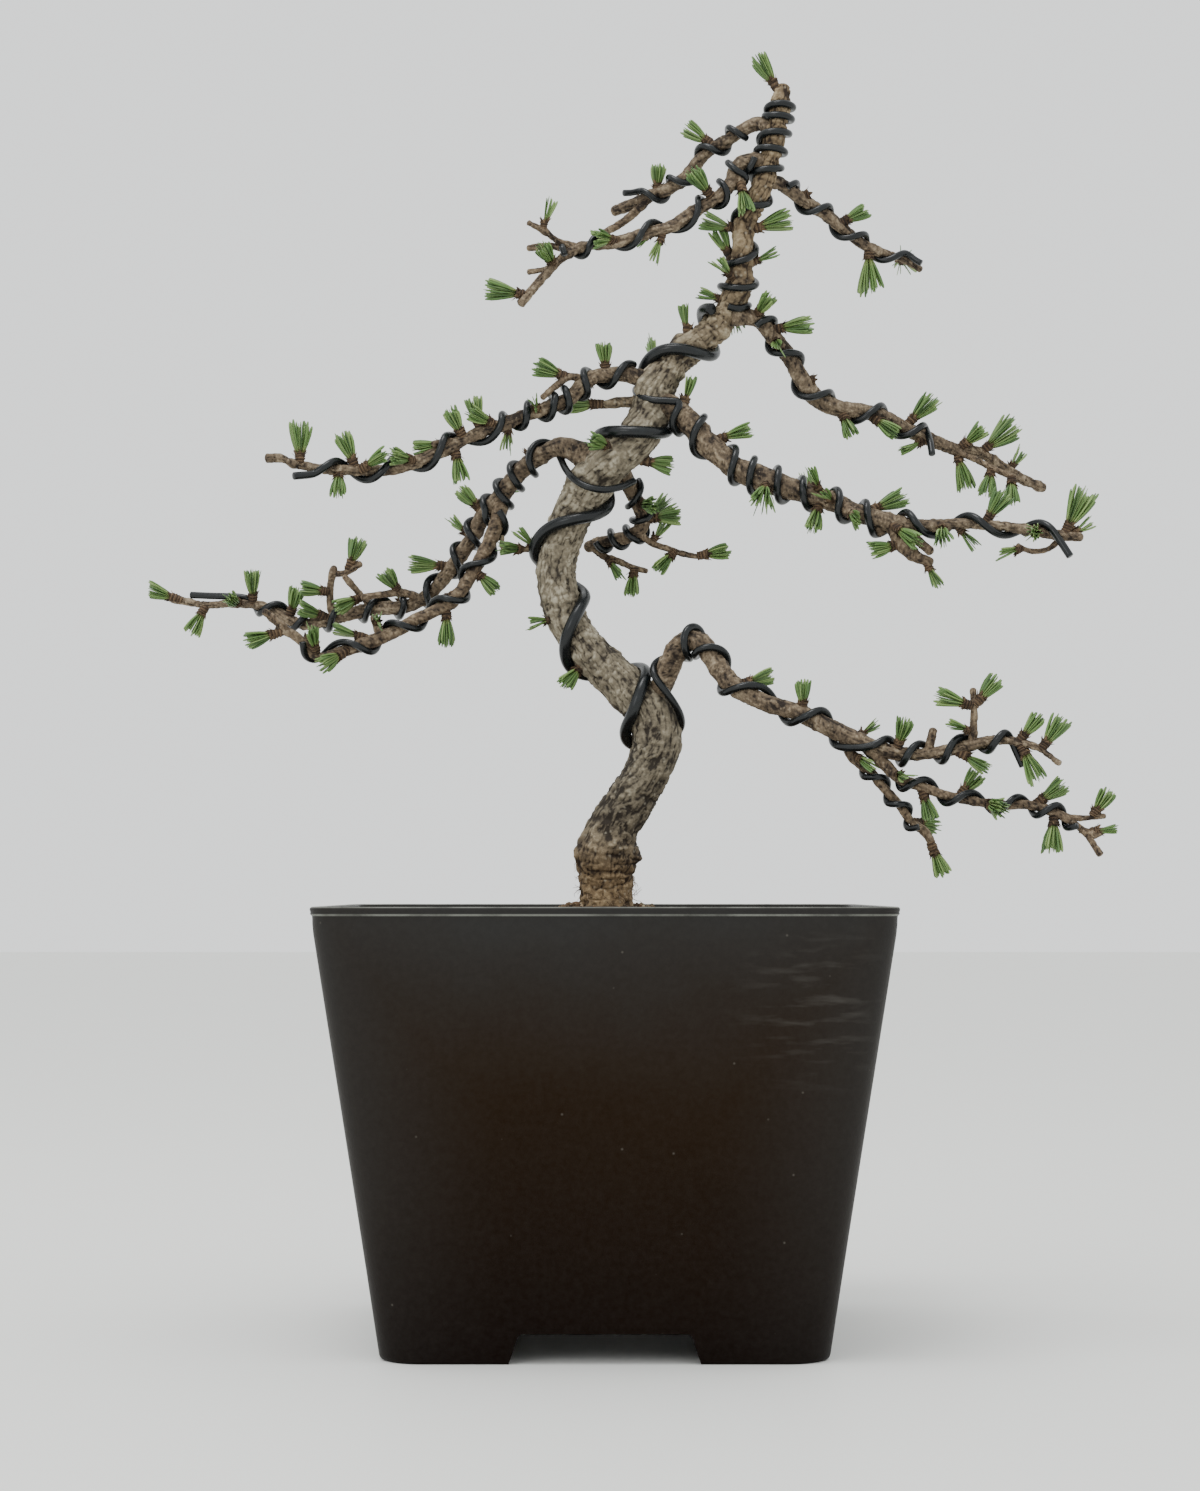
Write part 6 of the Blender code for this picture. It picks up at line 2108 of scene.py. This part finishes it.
@dataclass
class SoilBed:
    """The bed of potting mix, mounded to the trunk, with grit strewn over it."""

    side: float = 0.1743
    corner: float = 0.0095
    edge_height: float = 0.1385
    mound_height: float = 0.1428
    cells: int = 150
    grains: int = 3600
    chips: int = 260
    foot: tuple[float, float] = (0.0005, 0.0)
    foot_radius: float = 0.0088
    chip_form: tuple = ((1.6, 0.8, 0.25), (3.2, 1.4, 0.45))

    def level(self, x: Array, y: Array) -> Array:
        """Height of the bed at places X across it and Y along it."""
        off = np.hypot(x - self.foot[0], y - self.foot[1])
        rise = (self.mound_height - self.edge_height - 0.0006) * (1 - smoothstep(0.009, 0.030, off))
        spot = np.stack((x, y, 0 * x), -1)
        rough = 0.0006 * layered_noise(spot / 0.012, 3) + 0.00035 * layered_noise(spot / 0.0022, 9)
        return self.edge_height - 0.0003 + rise + rough

    def is_bare(self, x: float, y: float, size: float) -> bool:
        """Whether a place is free for a grain: inside the rounded square and off the trunk.

        Args:
            x: The place across the bed.
            y: The place along it.
            size: The grain's size.

        Returns:
            Whether a grain can lie there.
        """
        straight = self.side / 2 - self.corner
        off = math.hypot(max(abs(x) - straight, 0), max(abs(y) - straight, 0))
        if off > self.corner - size * 1.6:
            return False
        return math.hypot(x - self.foot[0], y - self.foot[1]) >= self.foot_radius + size

    def bed(self, finishes: Finishes) -> None:
        """Builds the bed as a closed slab with a rough top.

        Args:
            finishes: The materials.
        """
        half = self.side / 2 - 0.0001
        line = np.linspace(-half, half, self.cells + 1)
        x, y = np.meshgrid(line, line, indexing="ij")
        straight = half - self.corner
        dx, dy = np.abs(x) - straight, np.abs(y) - straight
        both = (dx > 0) & (dy > 0)
        reach = np.maximum(np.maximum(dx, dy), 1e-9)
        squeeze = np.where(both, reach / np.maximum(np.hypot(dx, dy), 1e-9), 1.0)
        x = np.where(both, np.sign(x) * (straight + dx * squeeze), x)
        y = np.where(both, np.sign(y) * (straight + dy * squeeze), y)
        z = self.level(x, y)
        count = self.cells + 1
        top = np.stack((x, y, z), -1).reshape(-1, 3)
        index = np.arange(count * count).reshape(count, count)
        faces = np.stack((index[:-1, :-1], index[1:, :-1], index[1:, 1:], index[:-1, 1:]), -1)
        faces = faces.reshape(-1, 4).tolist()
        rim = [*index[:, 0], *index[-1, 1:], *index[-2::-1, -1], *index[0, -2:0:-1]]
        low = top[rim] * (0.985, 0.985, 1) - (0, 0, 0.012)
        start = len(top)
        for i in range(len(rim)):
            j = (i + 1) % len(rim)
            faces.append((int(rim[i]), start + i, start + j, int(rim[j])))
        faces.append(range(start, start + len(rim)))
        points = np.vstack((top, low))
        shade = np.clip(0.34 + 0.3 * layered_noise(points / 0.0016, 5), 0, 1)
        red = np.clip(0.2 + 0.5 * layered_noise(points / 0.02, 15), 0, 1)
        maker = MeshMaker()
        maker.add(points, faces, np.stack((shade, red, 0 * shade, 1 + 0 * shade), -1))
        settle(maker.build("soil_bed", finishes.soil), Slot.SOIL, "soil")

    def strewn(self, finishes: Finishes) -> None:
        """Builds the grains of grit and the chips of bark that lie on the bed.

        Args:
            finishes: The materials.
        """
        rng = np.random.default_rng(12)
        corners = np.array([
            (0, 0, 1), (0.894, 0, 0.447), (0.276, 0.851, 0.447), (-0.724, 0.526, 0.447),
            (-0.724, -0.526, 0.447), (0.276, -0.851, 0.447), (0.724, 0.526, -0.447),
            (-0.276, 0.851, -0.447), (-0.894, 0, -0.447), (-0.276, -0.851, -0.447),
            (0.724, -0.526, -0.447), (0, 0, -1),
        ])
        faces = (
            (0, 1, 2), (0, 2, 3), (0, 3, 4), (0, 4, 5), (0, 5, 1), (1, 6, 2), (2, 7, 3), (3, 8, 4),
            (4, 9, 5), (5, 10, 1), (2, 6, 7), (3, 7, 8), (4, 8, 9), (5, 9, 10), (1, 10, 6),
            (6, 11, 7), (7, 11, 8), (8, 11, 9), (9, 11, 10), (10, 11, 6),
        )
        maker = MeshMaker()
        for number in range(self.grains + self.chips):
            chip = number >= self.grains
            size = float(rng.uniform(0.0004, 0.0007) + rng.random() ** 4 * 0.0009)
            x, y = rng.uniform(-self.side / 2, self.side / 2, 2)
            if not self.is_bare(x, y, size):
                continue
            form = corners * rng.uniform(0.75, 1.2, (12, 1)) * size
            low, high = self.chip_form if chip else (0.75, (1.15,) * 3)
            form *= rng.uniform(low, high)
            turn = Matrix.Rotation(rng.uniform(0, 2 * math.pi), 3, "Z")
            turn = np.array(turn @ Matrix.Rotation(rng.uniform(-0.4, 0.4), 3, "X"))
            z = float(self.level(np.array(x), np.array(y)))
            spot = form @ turn.T + (x, y, z + size * 0.3)
            shade = float(rng.choice((0.2, 0.4, 0.55, 0.75, 0.95), p=(0.2, 0.28, 0.25, 0.17, 0.1)))
            red = float(rng.random() ** 2)
            if chip:
                shade, red = float(rng.uniform(0.15, 0.5)), 0.7
            maker.add(spot, faces, (shade, red, 0.0, 1.0))
        settle(maker.build("soil_grit", finishes.soil, smooth=False), Slot.SOIL, "soil")

    def build(self, finishes: Finishes) -> None:
        """Builds the bed and what lies on it."""
        self.bed(finishes)
        self.strewn(finishes)


@dataclass
class Studio:
    """The camera, the pale table, the light round it and two soft boxes."""

    focal_units: float = 3000.0
    image: tuple[int, int] = (1200, 1491)
    principal: tuple[float, float] = (600.0, 888.8)
    sensor: float = 24.0
    table_side: float = 12.0
    room: Colour = paint(224, 226, 226)
    room_strength: float = 1.8
    box_size: float = 0.6
    aim: tuple[float, float, float] = (0.0, 0.0, 0.2)

    def camera(self) -> None:
        """Places the camera at the drawing's station point, level with the pot's rim."""
        lens = bpy.data.cameras.new("front_camera")
        lens.sensor_fit = "VERTICAL"
        lens.sensor_height = self.sensor
        lens.lens = self.sensor * self.focal_units / self.image[1]
        lens.shift_x = (self.image[0] / 2 - self.principal[0]) / self.image[1]
        lens.shift_y = (self.principal[1] - self.image[1] / 2) / self.image[1]
        lens.clip_start = 0.02
        lens.clip_end = 50.0
        made = placed("front_camera", lens)
        made.location = (SIGHT.x, -SIGHT.distance, SIGHT.z)
        made.rotation_euler = (math.pi / 2, 0, 0)
        bpy.context.scene.camera = made

    def table(self, finishes: Finishes) -> None:
        """Lays the pale table.

        Args:
            finishes: The materials.
        """
        maker = MeshMaker()
        half = self.table_side / 2
        corners = [(-half, -half, 0), (half, -half, 0), (half, half, 0), (-half, half, 0)]
        low = [(x, y, -0.02) for x, y, _ in corners]
        faces = [(0, 1, 2, 3), (7, 6, 5, 4), (0, 4, 5, 1), (1, 5, 6, 2), (2, 6, 7, 3), (3, 7, 4, 0)]
        maker.add(np.array(corners + low), faces, PLAIN)
        maker.build("pale_table", finishes.table, smooth=False)

    def soft_box(self, name: str, place: tuple[float, float, float], watts: float) -> None:
        """Hangs a square soft box that faces the tree.

        Args:
            name: Its name.
            place: Where it hangs.
            watts: Its strength.
        """
        light = bpy.data.lights.new(name, "AREA")
        light.shape = "SQUARE"
        light.size = self.box_size
        light.energy = watts
        made = placed(name, light)
        made.location = place
        reach = np.array(self.aim) - np.array(place)
        flat = math.hypot(reach[0], reach[1])
        made.rotation_euler = (math.atan2(flat, -reach[2]), 0, math.atan2(-reach[0], reach[1]))

    def light(self) -> None:
        """Lights the scene softly from all round, more from above."""
        world = bpy.data.worlds.new("soft_room")
        world.use_nodes = True
        back = world.node_tree.nodes["Background"]
        back.inputs["Color"].default_value = (*self.room, 1.0)
        back.inputs["Strength"].default_value = self.room_strength
        bpy.context.scene.world = world
        self.soft_box("overhead_box", (-0.25, -0.35, 1.5), 9.0)
        self.soft_box("front_box", (-0.9, -1.5, 0.9), 4.0)

    def build(self, finishes: Finishes) -> None:
        """Lays the table and lights it."""
        self.table(finishes)
        self.light()


def main() -> None:
    """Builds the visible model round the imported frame."""
    logging.basicConfig(level=logging.INFO, format="%(message)s")
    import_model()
    studio = Studio()
    studio.camera()
    growth = Growth()
    growth.lay_out()
    finishes = Finishes()
    Pot().build(finishes)
    SoilBed().build(finishes)
    for number, stem in enumerate(STEMS):
        kind = Trunk if stem == "trunk" else Stem
        kind(stem, growth.limbs[stem], growth.shoots[stem], number + 1).build(finishes)
    RootHairs().build(finishes)
    for name, run in growth.runs.items():
        TrainingWire(name, run, WIRES[name].radius).build(finishes)
    studio.build(finishes)
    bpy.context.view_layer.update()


if __name__ == "__main__":
    main()
